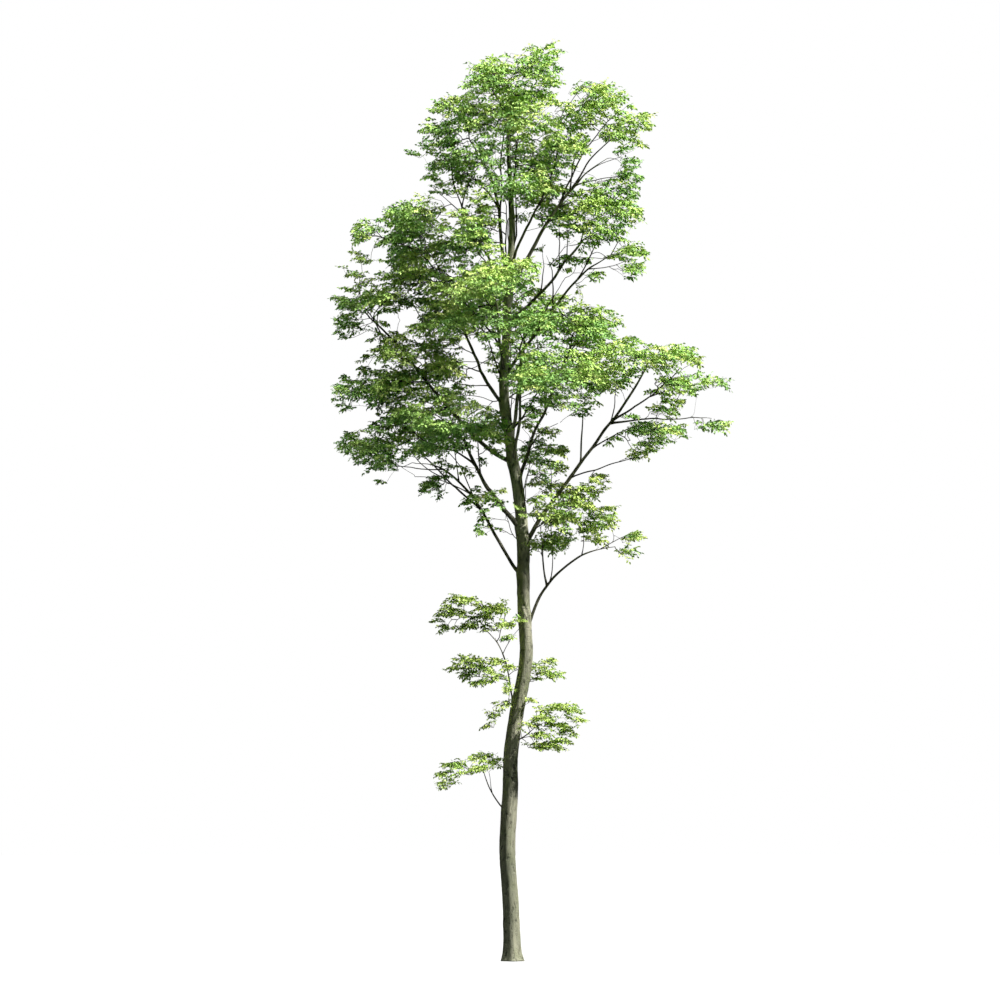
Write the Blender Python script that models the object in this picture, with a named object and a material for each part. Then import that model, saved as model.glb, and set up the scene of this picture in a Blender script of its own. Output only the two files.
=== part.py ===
"""Tall slender broadleaf tree: one sinuous trunk, twenty tapering boughs and the masses of foliage they carry.

Metres, +Z up. The tree stands 17 m tall and its trunk is 0.31 m through at breast height. The origin is the middle of
the flat cut under the trunk at ground level, the front faces -Y and +X is to its right. Every limb is grown from a
height on its parent, a compass bearing, three pitch angles (foot, middle, end) and a length. Every mass of foliage is
an uneven lobe around a centre, trimmed back from its neighbours and hollowed where the trunk or a bough runs into it.
"""

import math

import bmesh
import bpy
from mathutils import Matrix, Vector, noise

# ---------------------------------------------------------------- driving sizes
FLARE_GROWTH = 0.36  # share that the root flare adds to the foot's radius
FLARE_HEIGHT = 0.15  # height over which the flare dies away
FLARE_ROOTS = 5  # root ridges round the foot
RIDGE_DEPTH = 0.09  # share of the radius that a root ridge stands out
GAP = 0.004  # clearance kept between neighbouring masses
CLEAR = 0.005  # clearance kept round the trunk and the boughs
TRUNK_SIDES, TRUNK_STEP = 14, 0.46
BOUGH_SIDES, BOUGH_STEP = 6, 0.38
ENTRY = 0.10  # how far a bough's end reaches into its mass

# The stem's sway: height, offset along X, offset along Y, diameter.
STEM = [
    (0.00, 0.000, 0.00, 0.330),
    (1.00, -0.020, 0.01, 0.308),
    (2.10, -0.085, 0.03, 0.297),
    (3.10, -0.035, 0.05, 0.285),
    (3.80, -0.025, 0.04, 0.275),
    (4.50, 0.070, 0.02, 0.265),
    (5.60, 0.260, -0.02, 0.245),
    (6.50, 0.220, -0.05, 0.233),
    (7.80, 0.200, -0.04, 0.230),
    (8.60, 0.130, 0.00, 0.213),
    (9.60, -0.040, 0.06, 0.196),
    (10.60, -0.155, 0.08, 0.177),
    (11.50, -0.110, 0.05, 0.156),
    (12.50, -0.065, 0.00, 0.148),
    (13.40, 0.000, -0.04, 0.122),
    (14.30, -0.030, -0.03, 0.093),
    (15.20, -0.075, 0.02, 0.060),
    (16.25, -0.070, 0.05, 0.018),
]

# Boughs: name, parent, how far up the parent it leaves (metres along Z for the stem, share of length for a bough),
# bearing at the foot and at the end (0 is +X, 90 is +Y), pitch at foot, middle and end, length, diameter at the foot
# and at full length, and the mass that it ends in.
BOUGHS = [
    ("bough_left_low", "trunk", 7.09, 180, 175, (45, 59, -4), 3.04, 0.075, 0.034, "mass_left_low_far"),
    ("bough_left_main", "trunk", 7.94, 195, 190, (49, 55, 75), 2.07, 0.105, 0.055, "mass_left_low_shelf"),
    ("bough_left_long", "trunk", 9.22, 172, 178, (24, 52, 38), 3.82, 0.085, 0.040, "mass_left_mid"),
    ("bough_left_high", "trunk", 10.23, 200, 190, (49, 63, 71), 1.76, 0.075, 0.046, "mass_left_inner_mid"),
    ("bough_top_left", "trunk", 12.60, 185, 180, (73, 83, 52), 2.46, 0.080, 0.036, "mass_upper_left_high"),
    ("bough_right_low", "trunk", 5.94, -10, 0, (80, 49, 0), 2.60, 0.072, 0.026, "mass_right_under_tip"),
    ("bough_right_fork", "bough_right_low", 0.42, 150, 110, (68, 84, 82), 0.85, 0.042, 0.028, "mass_right_under"),
    ("bough_right_main", "trunk", 7.62, -5, 5, (62, 53, 60), 4.00, 0.092, 0.042, "mass_right_outer"),
    ("bough_right_hanger", "bough_right_main", 0.47, 100, 60, (84, 90, 82), 1.05, 0.040, 0.028, "mass_right_mid"),
    ("bough_right_inner", "trunk", 8.86, 30, 25, (66, 66, 63), 2.73, 0.070, 0.040, "mass_right_mid"),
    ("bough_right_upper", "trunk", 10.79, -25, -5, (50, 52, 29), 3.09, 0.072, 0.034, "mass_right_low_tip"),
    ("bough_upper_right", "trunk", 11.77, 25, 10, (36, 48, 52), 2.23, 0.072, 0.040, "mass_upper_right_low"),
    ("bough_top_right", "trunk", 12.30, -15, 5, (61, 58, 31), 3.21, 0.088, 0.040, "mass_upper_right_far"),
    ("bough_top_centre", "trunk", 12.75, -60, -20, (64, 56, 50), 1.82, 0.062, 0.036, "mass_upper_centre_right"),
    ("bough_front", "trunk", 10.90, -95, -100, (38, 46, 55), 2.20, 0.070, 0.042, "mass_centre_front_high"),
    ("bough_centre_front", "trunk", 9.20, -80, -88, (52, 50, 56), 2.30, 0.070, 0.042, "mass_centre_front_low"),
    ("bough_back", "trunk", 9.50, 80, 84, (42, 52, 62), 3.00, 0.085, 0.048, "mass_centre_back_mid"),
    ("bough_low_left", "trunk", 4.55, 190, 175, (70, 80, 40), 1.62, 0.040, 0.018, "mass_low_left_high"),
    ("bough_low_right", "trunk", 3.93, -15, 0, (55, 40, 20), 0.45, 0.034, 0.020, "mass_low_right"),
    ("bough_low_left_foot", "trunk", 2.72, 180, 178, (38, 62, 72), 0.98, 0.034, 0.018, "mass_low_left_foot"),
]

# Masses of foliage: name, centre (x, y, z), half sizes (x, y, z), tilt in degrees (positive lifts the +X side), the
# tips and hollows of its own outline as (bearing, pitch, share of the half size added or taken away), share of its
# face count. A mass's place in the list seeds its unevenness.
MASSES = [
    ("mass_crown_tip", (0.57, 0.10, 16.60), (0.47, 0.52, 0.41), 0, ((0, 15, 0.10), (150, 55, 0.10)), 0.8),
    ("mass_crown_top_left", (-0.30, -0.10, 16.34), (0.61, 0.85, 0.50), 0, ((180, -20, 0.12),), 1.0),
    ("mass_crown_front", (-0.13, -0.95, 15.24), (0.54, 0.78, 0.85), 0, ((200, 35, 0.12),), 1.1),
    ("mass_crown_back", (0.15, 0.95, 15.47), (0.63, 0.85, 0.67), 0, ((60, 10, 0.15),), 1.1),
    ("mass_upper_left_high", (-1.15, 0.00, 15.32), (0.74, 0.90, 0.63), 0, ((180, 35, -0.34), (180, -40, 0.22)), 1.2),
    ("mass_upper_left_low", (-1.12, 0.55, 14.38), (0.55, 1.00, 0.38), 0, ((180, -20, 0.10), (0, 40, 0.20)), 0.9),
    ("mass_upper_right_high", (1.63, 0.10, 15.98), (0.65, 0.75, 0.33), 0, ((0, 10, 0.10), (180, -20, 0.15)), 0.9),
    ("mass_upper_right_far", (2.18, 0.00, 15.00), (0.43, 0.70, 0.83), -12, ((0, 55, 0.22), (0, -30, -0.15)), 1.1),
    ("mass_upper_centre_right", (0.74, -0.10, 15.00), (0.55, 1.05, 0.92), 0, ((10, 60, 0.12),), 1.3),
    ("mass_upper_right_low", (1.50, 0.20, 13.80), (0.96, 1.20, 0.56), 0, ((0, 30, 0.14), (200, -50, 0.25)), 1.3),
    ("mass_right_low_tip", (2.11, -0.10, 12.91), (0.48, 0.60, 0.37), 0, ((0, -45, 0.10), (180, -30, 0.35)), 0.8),
    ("mass_left_shoulder", (-2.03, -0.10, 13.67), (0.89, 1.00, 0.43), 12, ((180, 45, -0.18), (170, -20, 0.12)), 1.2),
    ("mass_left_inner_high", (-0.78, -0.85, 13.52), (0.62, 1.15, 0.56), 0, ((200, 40, 0.12),), 1.0),
    ("mass_left_outer", (-2.83, 0.00, 12.38), (0.48, 0.95, 0.89), -14, ((180, -20, 0.04), (180, 50, -0.12)), 1.2),
    ("mass_left_mid_high", (-1.83, 0.30, 12.66), (0.63, 1.20, 0.68), 0, ((180, 10, 0.12),), 1.1),
    ("mass_centre_front_high", (-0.41, -1.75, 12.36), (0.85, 1.10, 0.67), 0, ((220, -25, 0.15),), 1.3),
    ("mass_left_inner_mid", (-1.22, -0.20, 11.82), (0.63, 1.15, 0.56), 0, ((200, -40, 0.12),), 1.1),
    ("mass_left_mid", (-2.27, 0.00, 10.84), (1.05, 1.20, 0.70), 0, ((180, 32, -0.34), (180, -28, 0.18)), 1.5),
    ("mass_left_inner_back", (-0.78, 1.50, 10.56), (0.70, 1.20, 0.67), 0, ((120, 20, 0.12),), 1.2),
    ("mass_left_low_shelf", (-1.48, -0.50, 9.86), (0.96, 1.15, 0.56), 0, ((0, 30, 0.10), (230, -20, 0.12)), 1.3),
    ("mass_left_low_far", (-2.44, 0.20, 9.47), (0.78, 1.10, 0.55), 0, ((180, 50, -0.15), (180, -45, -0.14), (0, -60, 0.15)), 1.2),
    ("mass_left_hanging", (-1.46, -0.30, 8.79), (0.28, 0.42, 0.37), 0, ((180, 10, 0.15),), 0.6),
    ("mass_left_under", (-0.50, -0.50, 8.45), (0.52, 0.66, 0.50), -15, ((180, 20, 0.10), (180, -35, -0.22)), 0.9),
    ("mass_centre_back_mid", (0.30, 1.60, 11.86), (0.63, 1.15, 0.61), 0, ((60, -20, 0.12),), 1.2),
    ("mass_right_mid_high", (1.44, -0.30, 11.71), (0.63, 1.05, 0.46), 0, ((0, -10, 0.10), (150, 40, 0.12)), 1.0),
    ("mass_centre_front_low", (0.33, -1.55, 10.82), (0.55, 1.00, 0.55), 0, ((300, -30, 0.12),), 1.0),
    ("mass_right_mid", (1.48, 0.40, 10.71), (0.67, 1.05, 0.61), 0, ((200, -45, 0.12), (0, -50, -0.10)), 1.2),
    ("mass_right_outer", (2.37, -0.20, 11.12), (0.45, 0.80, 0.50), 0, ((0, 40, -0.10), (20, -50, 0.20)), 0.9),
    ("mass_right_far", (3.22, 0.15, 10.95), (0.81, 0.85, 0.46), -8, ((0, 35, -0.25), (0, -18, 0.12)), 1.2),
    ("mass_right_shelf", (2.83, 0.00, 9.92), (1.10, 0.90, 0.44), 4, ((0, -45, -0.38), (0, 0, 0.08), (0, 60, -0.15), (180, -50, 0.25)), 1.3),
    ("mass_centre_right_low", (0.61, 0.95, 9.42), (0.54, 0.92, 0.55), 0, ((80, 20, 0.12),), 1.0),
    ("mass_right_under", (1.26, 0.00, 8.34), (0.89, 0.90, 0.67), 0, ((0, 45, -0.22), (0, -15, 0.10)), 1.3),
    ("mass_right_under_tip", (2.07, -0.05, 7.72), (0.42, 0.42, 0.26), 6, ((0, 20, 0.05),), 0.6),
    ("mass_low_left_high", (-0.66, -0.30, 6.44), (0.84, 0.65, 0.37), -8, ((0, 40, -0.20), (180, 15, 0.08)), 1.1),
    ("mass_low_left_mid", (-0.52, -0.15, 5.36), (0.67, 0.50, 0.30), 0, ((180, 20, 0.10), (180, -50, -0.15)), 0.8),
    ("mass_low_left_under", (-0.26, -0.10, 4.68), (0.31, 0.34, 0.44), -15, ((180, 40, -0.20), (180, -60, 0.12)), 0.6),
    ("mass_low_right_high", (0.63, 0.25, 5.36), (0.34, 0.42, 0.32), 0, ((0, 30, 0.08),), 0.6),
    ("mass_low_right", (0.80, 0.00, 4.29), (0.57, 0.58, 0.54), 0, ((0, 30, 0.12), (0, -45, -0.25)), 1.0),
    ("mass_low_left_foot", (-0.80, 0.00, 3.53), (0.68, 0.50, 0.32), 8, ((180, -30, 0.15), (170, 50, -0.20)), 0.8),
]
FACE_POINTS = 60  # points on a mass whose share is 1
COARSE_LUMPS, FINE_LUMPS = 0.34, 0.24  # unevenness of a mass's skin, shares of its half size
TIP_SPREAD = 0.55  # radians over which a tip or hollow dies away

BARK = (0.36, 0.36, 0.27)
YOUNG_BARK = (0.23, 0.23, 0.18)
LEAF = (0.20, 0.36, 0.07)


# ---------------------------------------------------------------- helpers
def material(name, colour, roughness):
    mat = bpy.data.materials.new(name)
    mat.use_nodes = True
    shader = mat.node_tree.nodes["Principled BSDF"]
    shader.inputs["Base Color"].default_value = (*colour, 1.0)
    shader.inputs["Roughness"].default_value = roughness
    shader.inputs["Metallic"].default_value = 0.0
    return mat


def finish(name, bm, mat, hidden=False):
    """The bmesh as an object of that name. A hidden one is a cutter."""
    bmesh.ops.recalc_face_normals(bm, faces=bm.faces[:])
    if bm.calc_volume(signed=True) < 0:
        bmesh.ops.reverse_faces(bm, faces=bm.faces[:])
    mesh = bpy.data.meshes.new(name)
    bm.to_mesh(mesh)
    bm.free()
    mesh.materials.append(mat)
    obj = bpy.data.objects.new(name, mesh)
    bpy.context.scene.collection.objects.link(obj)
    if hidden:
        obj.hide_render = True
        obj.display_type = "WIRE"
    else:
        mesh.shade_smooth()
        mesh.set_sharp_from_angle(angle=math.radians(50))
    return obj


def station(z):
    """(centre, radius) of the stem at height z, by a smooth curve through STEM."""
    z = min(max(z, STEM[0][0]), STEM[-1][0])
    i = max(k for k in range(len(STEM) - 1) if STEM[k][0] <= z)
    a, b = STEM[i], STEM[i + 1]
    before, after = STEM[max(i - 1, 0)], STEM[min(i + 2, len(STEM) - 1)]
    t = (z - a[0]) / (b[0] - a[0])

    def smooth(k):
        span = b[0] - a[0]
        m0 = (b[k] - before[k]) / max(b[0] - before[0], 1e-6) * span
        m1 = (after[k] - a[k]) / max(after[0] - a[0], 1e-6) * span
        return (
            (2 * t**3 - 3 * t**2 + 1) * a[k]
            + (t**3 - 2 * t**2 + t) * m0
            + (-2 * t**3 + 3 * t**2) * b[k]
            + (t**3 - t**2) * m1
        )

    return Vector((smooth(1), smooth(2), z)), smooth(3) / 2


def foot_swell(z, angle):
    """How much wider the stem is near the ground, with its root ridges."""
    near = math.exp(-z / FLARE_HEIGHT)
    ridges = RIDGE_DEPTH * math.cos(FLARE_ROOTS * angle + 0.7) * math.exp(-z / 0.35)
    return 1 + FLARE_GROWTH * near + ridges


def limb_path(foot, bearings, pitches, length, steps=48):
    """Points along a limb whose bearing and pitch turn smoothly from foot to end."""
    points = [Vector(foot)]
    for i in range(steps):
        s = (i + 0.5) / steps
        low, mid, high = (math.radians(p) for p in pitches)
        pitch = low * 2 * (s - 0.5) * (s - 1) - mid * 4 * s * (s - 1) + high * 2 * s * (s - 0.5)
        bearing = math.radians(bearings[0] + (bearings[1] - bearings[0]) * s)
        step = Vector((math.cos(pitch) * math.cos(bearing), math.cos(pitch) * math.sin(bearing), math.sin(pitch)))
        points.append(points[-1] + step * (length / steps))
    return points


def sweep(name, path, radii, sides, mat, swell=None, hidden=False):
    """A closed tube of round sections along path, each square to it, or level on a stem with a swell."""
    bm = bmesh.new()
    rings = []
    side = Vector((1, 0, 0))
    for i, (centre, radius) in enumerate(zip(path, radii, strict=True)):
        along = (path[min(i + 1, len(path) - 1)] - path[max(i - 1, 0)]).normalized()
        if swell:
            along = Vector((0, 0, 1))
        across = along.cross(side).normalized()
        side = across.cross(along).normalized()
        ring = []
        for k in range(sides):
            angle = 2 * math.pi * k / sides
            wide = radius * (swell(centre.z, angle) if swell else 1.0)
            ring.append(bm.verts.new(centre + (side * math.cos(angle) + across * math.sin(angle)) * wide))
        rings.append(ring)
    bm.faces.new(list(reversed(rings[0])))
    bm.faces.new(rings[-1])
    for low, high in zip(rings, rings[1:]):
        for k in range(sides):
            n = (k + 1) % sides
            bm.faces.new((low[k], low[n], high[n], high[k]))
    bmesh.ops.triangulate(bm, faces=bm.faces[:])
    return finish(name, bm, mat, hidden)


def cut(obj, cutter):
    modifier = obj.modifiers.new("clear_" + cutter.name[:40], "BOOLEAN")
    modifier.operation = "DIFFERENCE"
    modifier.solver = "EXACT"
    modifier.object = cutter


def ball_points(count):
    """Evenly spread unit directions."""
    golden = math.pi * (3 - math.sqrt(5))
    made = []
    for i in range(count):
        z = 1 - (2 * i + 1) / count
        r = math.sqrt(1 - z * z)
        made.append(Vector((r * math.cos(golden * i), r * math.sin(golden * i), z)))
    return made


def towards(bearing, pitch):
    b, p = math.radians(bearing), math.radians(pitch)
    return Vector((math.cos(p) * math.cos(b), math.cos(p) * math.sin(b), math.sin(p)))


def lobes(direction, tips, seed):
    """The uneven outline of a mass: how far its skin is out along a direction of its ball, about 1."""
    coarse = direction * 1.3 + Vector((seed * 7.31, seed * -3.17, seed * 1.93))
    fine = direction * 2.9 + Vector((seed * -1.7, seed * 5.3, seed * 2.9))
    out = 1.0 + COARSE_LUMPS * noise.noise(coarse) + FINE_LUMPS * noise.noise(fine)
    for bearing, pitch, share in tips:
        out += share * math.exp(-((direction.angle(towards(bearing, pitch)) / TIP_SPREAD) ** 2))
    return out


def turned(mass, direction):
    """A direction of a mass's ball as a vector out to its ellipsoid, tilted in the XZ plane."""
    ray = Vector([d * h for d, h in zip(direction, mass[2], strict=True)])
    return Matrix.Rotation(math.radians(-mass[3]), 3, "Y") @ ray


def unturned(mass, offset):
    """An offset from a mass's centre in the measure of its ball."""
    back = Matrix.Rotation(math.radians(mass[3]), 3, "Y") @ offset
    return Vector([o / h for o, h in zip(back, mass[2], strict=True)])


def spread(mass, direction):
    """How far a mass's ellipsoid reaches along a unit direction."""
    along = Matrix.Rotation(math.radians(mass[3]), 3, "Y") @ direction
    return Vector([a * h for a, h in zip(along, mass[2], strict=True)]).length


def reach(a, b):
    """True if two masses can meet, so that a plane has to part them."""
    gap = Vector(b[1]) - Vector(a[1])
    way = gap.normalized()
    return gap.length < 1.6 * (spread(a, way) + spread(b, way))


def parting(a, b):
    """(point, unit normal) of the plane that parts two masses, with the normal towards b."""
    gap = Vector(b[1]) - Vector(a[1])
    near, far = unturned(a, gap).length, unturned(b, gap).length
    point = Vector(a[1]) + gap * (far / (near + far))
    normal = Vector([g * (1 / p**2 + 1 / q**2) for g, p, q in zip(gap, a[2], b[2], strict=True)])
    return point, normal.normalized()


def mass_reach(mass, seed, direction, planes):
    """How far the skin of a mass is from its centre along a unit direction of its ball."""
    ray = turned(mass, direction)
    far = lobes(direction, mass[4], seed)
    for point, normal in planes:
        slope = normal.dot(ray)
        if slope > 1e-9:
            far = min(far, (normal.dot(point - Vector(mass[1])) - GAP / 2) / slope)
    return far


def inside(mass, seed, planes, point):
    away = unturned(mass, Vector(point) - Vector(mass[1]))
    return away.length < mass_reach(mass, seed, away.normalized(), planes)


# ---------------------------------------------------------------- the tree
for old in list(bpy.data.objects):
    bpy.data.objects.remove(old)

bark, young_bark, leaf = (
    material("bark", BARK, 0.85),
    material("young_bark", YOUNG_BARK, 0.8),
    material("foliage", LEAF, 0.6),
)

# Trunk: rings close together through the flare, then evenly up to the tip.
heights = [0.0, 0.06, 0.14, 0.26, 0.45]
while heights[-1] < STEM[-1][0] - 0.3:
    heights.append(heights[-1] + TRUNK_STEP)
heights[-1] = STEM[-1][0]
stem_path = [station(z)[0] for z in heights]
stem_radii = [station(z)[1] for z in heights]
trunk = sweep("trunk", stem_path, stem_radii, TRUNK_SIDES, bark, foot_swell)
trunk_cutter = sweep(
    "cutter_trunk",
    [p + Vector((0, 0, -0.02 if i == 0 else 0.02 if i == len(stem_path) - 1 else 0)) for i, p in enumerate(stem_path)],
    [r + CLEAR for r in stem_radii],
    TRUNK_SIDES,
    bark,
    foot_swell,
    hidden=True,
)

# Parting planes between neighbouring masses.
planes = {mass[0]: [] for mass in MASSES}
for i, a in enumerate(MASSES):
    for b in MASSES[i + 1 :]:
        if reach(a, b):
            point, normal = parting(a, b)
            planes[a[0]].append((point, normal))
            planes[b[0]].append((point, -normal))

# Boughs: grown to full length, then stopped a little way inside their mass.
by_name = {mass[0]: (mass, seed) for seed, mass in enumerate(MASSES, 1)}
limbs = {}
for name, parent, start, b0, b1, pitches, length, d0, d1, into in BOUGHS:
    if parent == "trunk":
        foot = station(start)[0]
    else:
        whole = limbs[parent]["whole"]
        foot = whole[round(start * (len(whole) - 1))]
    whole = limb_path(foot, (b0, b1), pitches, length)
    step = length / (len(whole) - 1)
    entered, last = 0.0, len(whole) - 1
    for i, p in enumerate(whole):
        entered += step if inside(*by_name[into], planes[into], p) else 0.0
        if entered >= ENTRY:
            last = i
            break
    count = max(3, round(last * step / BOUGH_STEP))
    picks = sorted({round(k * last / count) for k in range(count + 1)})
    taper = [(d0 + (d1 - d0) * (i / (len(whole) - 1)) ** 0.85) / 2 for i in picks]
    path = [whole[i] for i in picks]
    obj = sweep(name, path, taper, BOUGH_SIDES, young_bark)
    beyond = (path[-1] - path[-2]).normalized() * 0.02
    cutter = sweep(
        "cutter_" + name, path[:-1] + [path[-1] + beyond], [r + CLEAR for r in taper], BOUGH_SIDES, young_bark, hidden=True
    )
    limbs[name] = {"whole": whole, "path": path, "radii": taper, "obj": obj, "cutter": cutter}
    cut(obj, trunk_cutter if parent == "trunk" else limbs[parent]["cutter"])

# Masses.
for seed, mass in enumerate(MASSES, 1):
    name, centre, half, _, _, share = mass
    bm = bmesh.new()
    for direction in ball_points(max(28, round(FACE_POINTS * share))):
        bm.verts.new(direction)
    bmesh.ops.convex_hull(bm, input=bm.verts[:])
    for vert in bm.verts:
        direction = vert.co.normalized()
        vert.co = Vector(centre) + turned(mass, direction) * mass_reach(mass, seed, direction, planes[name])
    obj = finish(name, bm, leaf)
    tubes = [(stem_path, stem_radii, trunk_cutter)]
    tubes += [(limb["path"], limb["radii"], limb["cutter"]) for limb in limbs.values()]
    for path, radii, cutter in tubes:
        slack = (max(radii) + 0.03) / min(half)
        along = [a.lerp(b, k / 4) for a, b in zip(path, path[1:]) for k in range(5)]
        if any(unturned(mass, p - Vector(centre)).length < 1.35 + slack for p in along):
            cut(obj, cutter)
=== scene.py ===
"""The looks of the tall broadleaf tree: bark with its relief, and boughs, twigs and leaves grown on from the limbs.

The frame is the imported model: metres, +Z up, the origin in the middle of the trunk's cut at ground level.
"""

import math

import bpy
import numpy as np
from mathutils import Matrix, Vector, noise


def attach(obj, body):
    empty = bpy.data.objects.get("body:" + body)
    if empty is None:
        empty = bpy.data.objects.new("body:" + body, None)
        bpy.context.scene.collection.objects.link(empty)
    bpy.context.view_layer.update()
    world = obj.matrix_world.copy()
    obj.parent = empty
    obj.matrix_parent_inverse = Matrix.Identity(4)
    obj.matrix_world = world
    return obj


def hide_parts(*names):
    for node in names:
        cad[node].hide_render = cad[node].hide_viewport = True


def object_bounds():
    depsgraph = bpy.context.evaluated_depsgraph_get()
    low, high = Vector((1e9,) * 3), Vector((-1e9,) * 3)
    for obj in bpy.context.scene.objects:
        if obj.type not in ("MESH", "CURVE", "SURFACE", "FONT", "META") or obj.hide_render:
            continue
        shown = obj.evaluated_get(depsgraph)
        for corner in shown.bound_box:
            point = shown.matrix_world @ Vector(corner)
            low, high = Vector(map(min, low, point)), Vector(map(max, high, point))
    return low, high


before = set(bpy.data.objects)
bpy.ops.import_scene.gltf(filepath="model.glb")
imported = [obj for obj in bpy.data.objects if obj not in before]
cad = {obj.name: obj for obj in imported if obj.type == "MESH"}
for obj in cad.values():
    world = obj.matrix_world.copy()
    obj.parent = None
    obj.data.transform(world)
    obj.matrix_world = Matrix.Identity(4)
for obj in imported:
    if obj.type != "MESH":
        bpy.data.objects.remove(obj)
cad_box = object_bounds()
rng = np.random.default_rng(4117)

# ------------------------------------------------------------------ measures
PART = 0.0185  # metres to one part in a thousand of the picture, at the trunk
FOOT = (512.0, 961.0)  # where the trunk's cut stands in those parts
LEAF_LENGTH, LEAF_WIDTH = 0.074, 0.043
PADS, PAD_RADII = 880, (0.20, 0.44)  # layers of foliage: how many in the crown, and their size
CLUMP_AREA = 55.0  # a clump has a pad for each so many square parts of the picture
SPRAYS_BY_AREA = 112.0  # sprays for each square metre of a pad's square
SPRAY_LENGTH = 0.27
STEP = 0.12  # length of a step along a grown branch
TIP = 0.0021  # radius of the finest grown twig


def across(px):
    return (px - FOOT[0]) * PART


def height(py):
    return (FOOT[1] - py) * PART


# ------------------------------------------------------------------ the limbs, as the CAD has them
STEM = np.array(
    [
        (0.00, 0.000, 0.00, 0.330),
        (1.00, -0.020, 0.01, 0.308),
        (2.10, -0.085, 0.03, 0.297),
        (3.10, -0.035, 0.05, 0.285),
        (3.80, -0.025, 0.04, 0.275),
        (4.50, 0.070, 0.02, 0.265),
        (5.60, 0.260, -0.02, 0.245),
        (6.50, 0.220, -0.05, 0.233),
        (7.80, 0.200, -0.04, 0.230),
        (8.60, 0.130, 0.00, 0.213),
        (9.60, -0.040, 0.06, 0.196),
        (10.60, -0.155, 0.08, 0.177),
        (11.50, -0.110, 0.05, 0.156),
        (12.50, -0.065, 0.00, 0.148),
        (13.40, 0.000, -0.04, 0.122),
        (14.30, -0.030, -0.03, 0.093),
        (15.20, -0.075, 0.02, 0.060),
        (16.25, -0.070, 0.05, 0.018),
    ]
)
FLARE_GROWTH, FLARE_HEIGHT, FLARE_ROOTS, RIDGE_DEPTH = 0.36, 0.15, 5, 0.09

# name, parent, height or share, bearings, pitches, length, diameters, share of the length that is drawn as a limb
BOUGHS = [
    ("bough_left_low", "trunk", 7.09, 180, 175, (45, 59, -4), 3.04, 0.075, 0.034),
    ("bough_left_main", "trunk", 7.94, 195, 190, (49, 55, 75), 2.07, 0.105, 0.055),
    ("bough_left_long", "trunk", 9.22, 172, 178, (24, 52, 38), 3.82, 0.085, 0.040),
    ("bough_left_high", "trunk", 10.23, 200, 190, (49, 63, 71), 1.76, 0.075, 0.046),
    ("bough_top_left", "trunk", 12.60, 185, 180, (73, 83, 52), 2.46, 0.080, 0.036),
    ("bough_right_low", "trunk", 5.94, -10, 0, (80, 49, 0), 2.60, 0.072, 0.026),
    ("bough_right_fork", "bough_right_low", 0.42, 150, 110, (68, 84, 82), 0.85, 0.042, 0.028),
    ("bough_right_main", "trunk", 7.62, -5, 5, (62, 53, 60), 4.00, 0.092, 0.042),
    ("bough_right_hanger", "bough_right_main", 0.47, 100, 60, (84, 90, 82), 1.05, 0.040, 0.028),
    ("bough_right_inner", "trunk", 8.86, 30, 25, (66, 66, 63), 2.73, 0.070, 0.040),
    ("bough_right_upper", "trunk", 10.79, -25, -5, (50, 52, 29), 3.09, 0.072, 0.034),
    ("bough_upper_right", "trunk", 11.77, 25, 10, (36, 48, 52), 2.23, 0.072, 0.040),
    ("bough_top_right", "trunk", 12.30, -15, 5, (61, 58, 31), 3.21, 0.088, 0.040),
    ("bough_top_centre", "trunk", 12.75, -60, -20, (64, 56, 50), 1.82, 0.062, 0.036),
    ("bough_front", "trunk", 10.90, -95, -100, (38, 46, 55), 2.20, 0.070, 0.042),
    ("bough_centre_front", "trunk", 9.20, -80, -88, (52, 50, 56), 2.30, 0.070, 0.042),
    ("bough_back", "trunk", 9.50, 80, 84, (42, 52, 62), 3.00, 0.085, 0.048),
    ("bough_low_left", "trunk", 4.55, 190, 175, (70, 80, 40), 1.62, 0.040, 0.018),
    ("bough_low_right", "trunk", 3.93, -15, 0, (55, 40, 20), 0.45, 0.034, 0.020),
    ("bough_low_left_foot", "trunk", 2.72, 180, 178, (38, 62, 72), 0.98, 0.034, 0.018),
]

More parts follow.
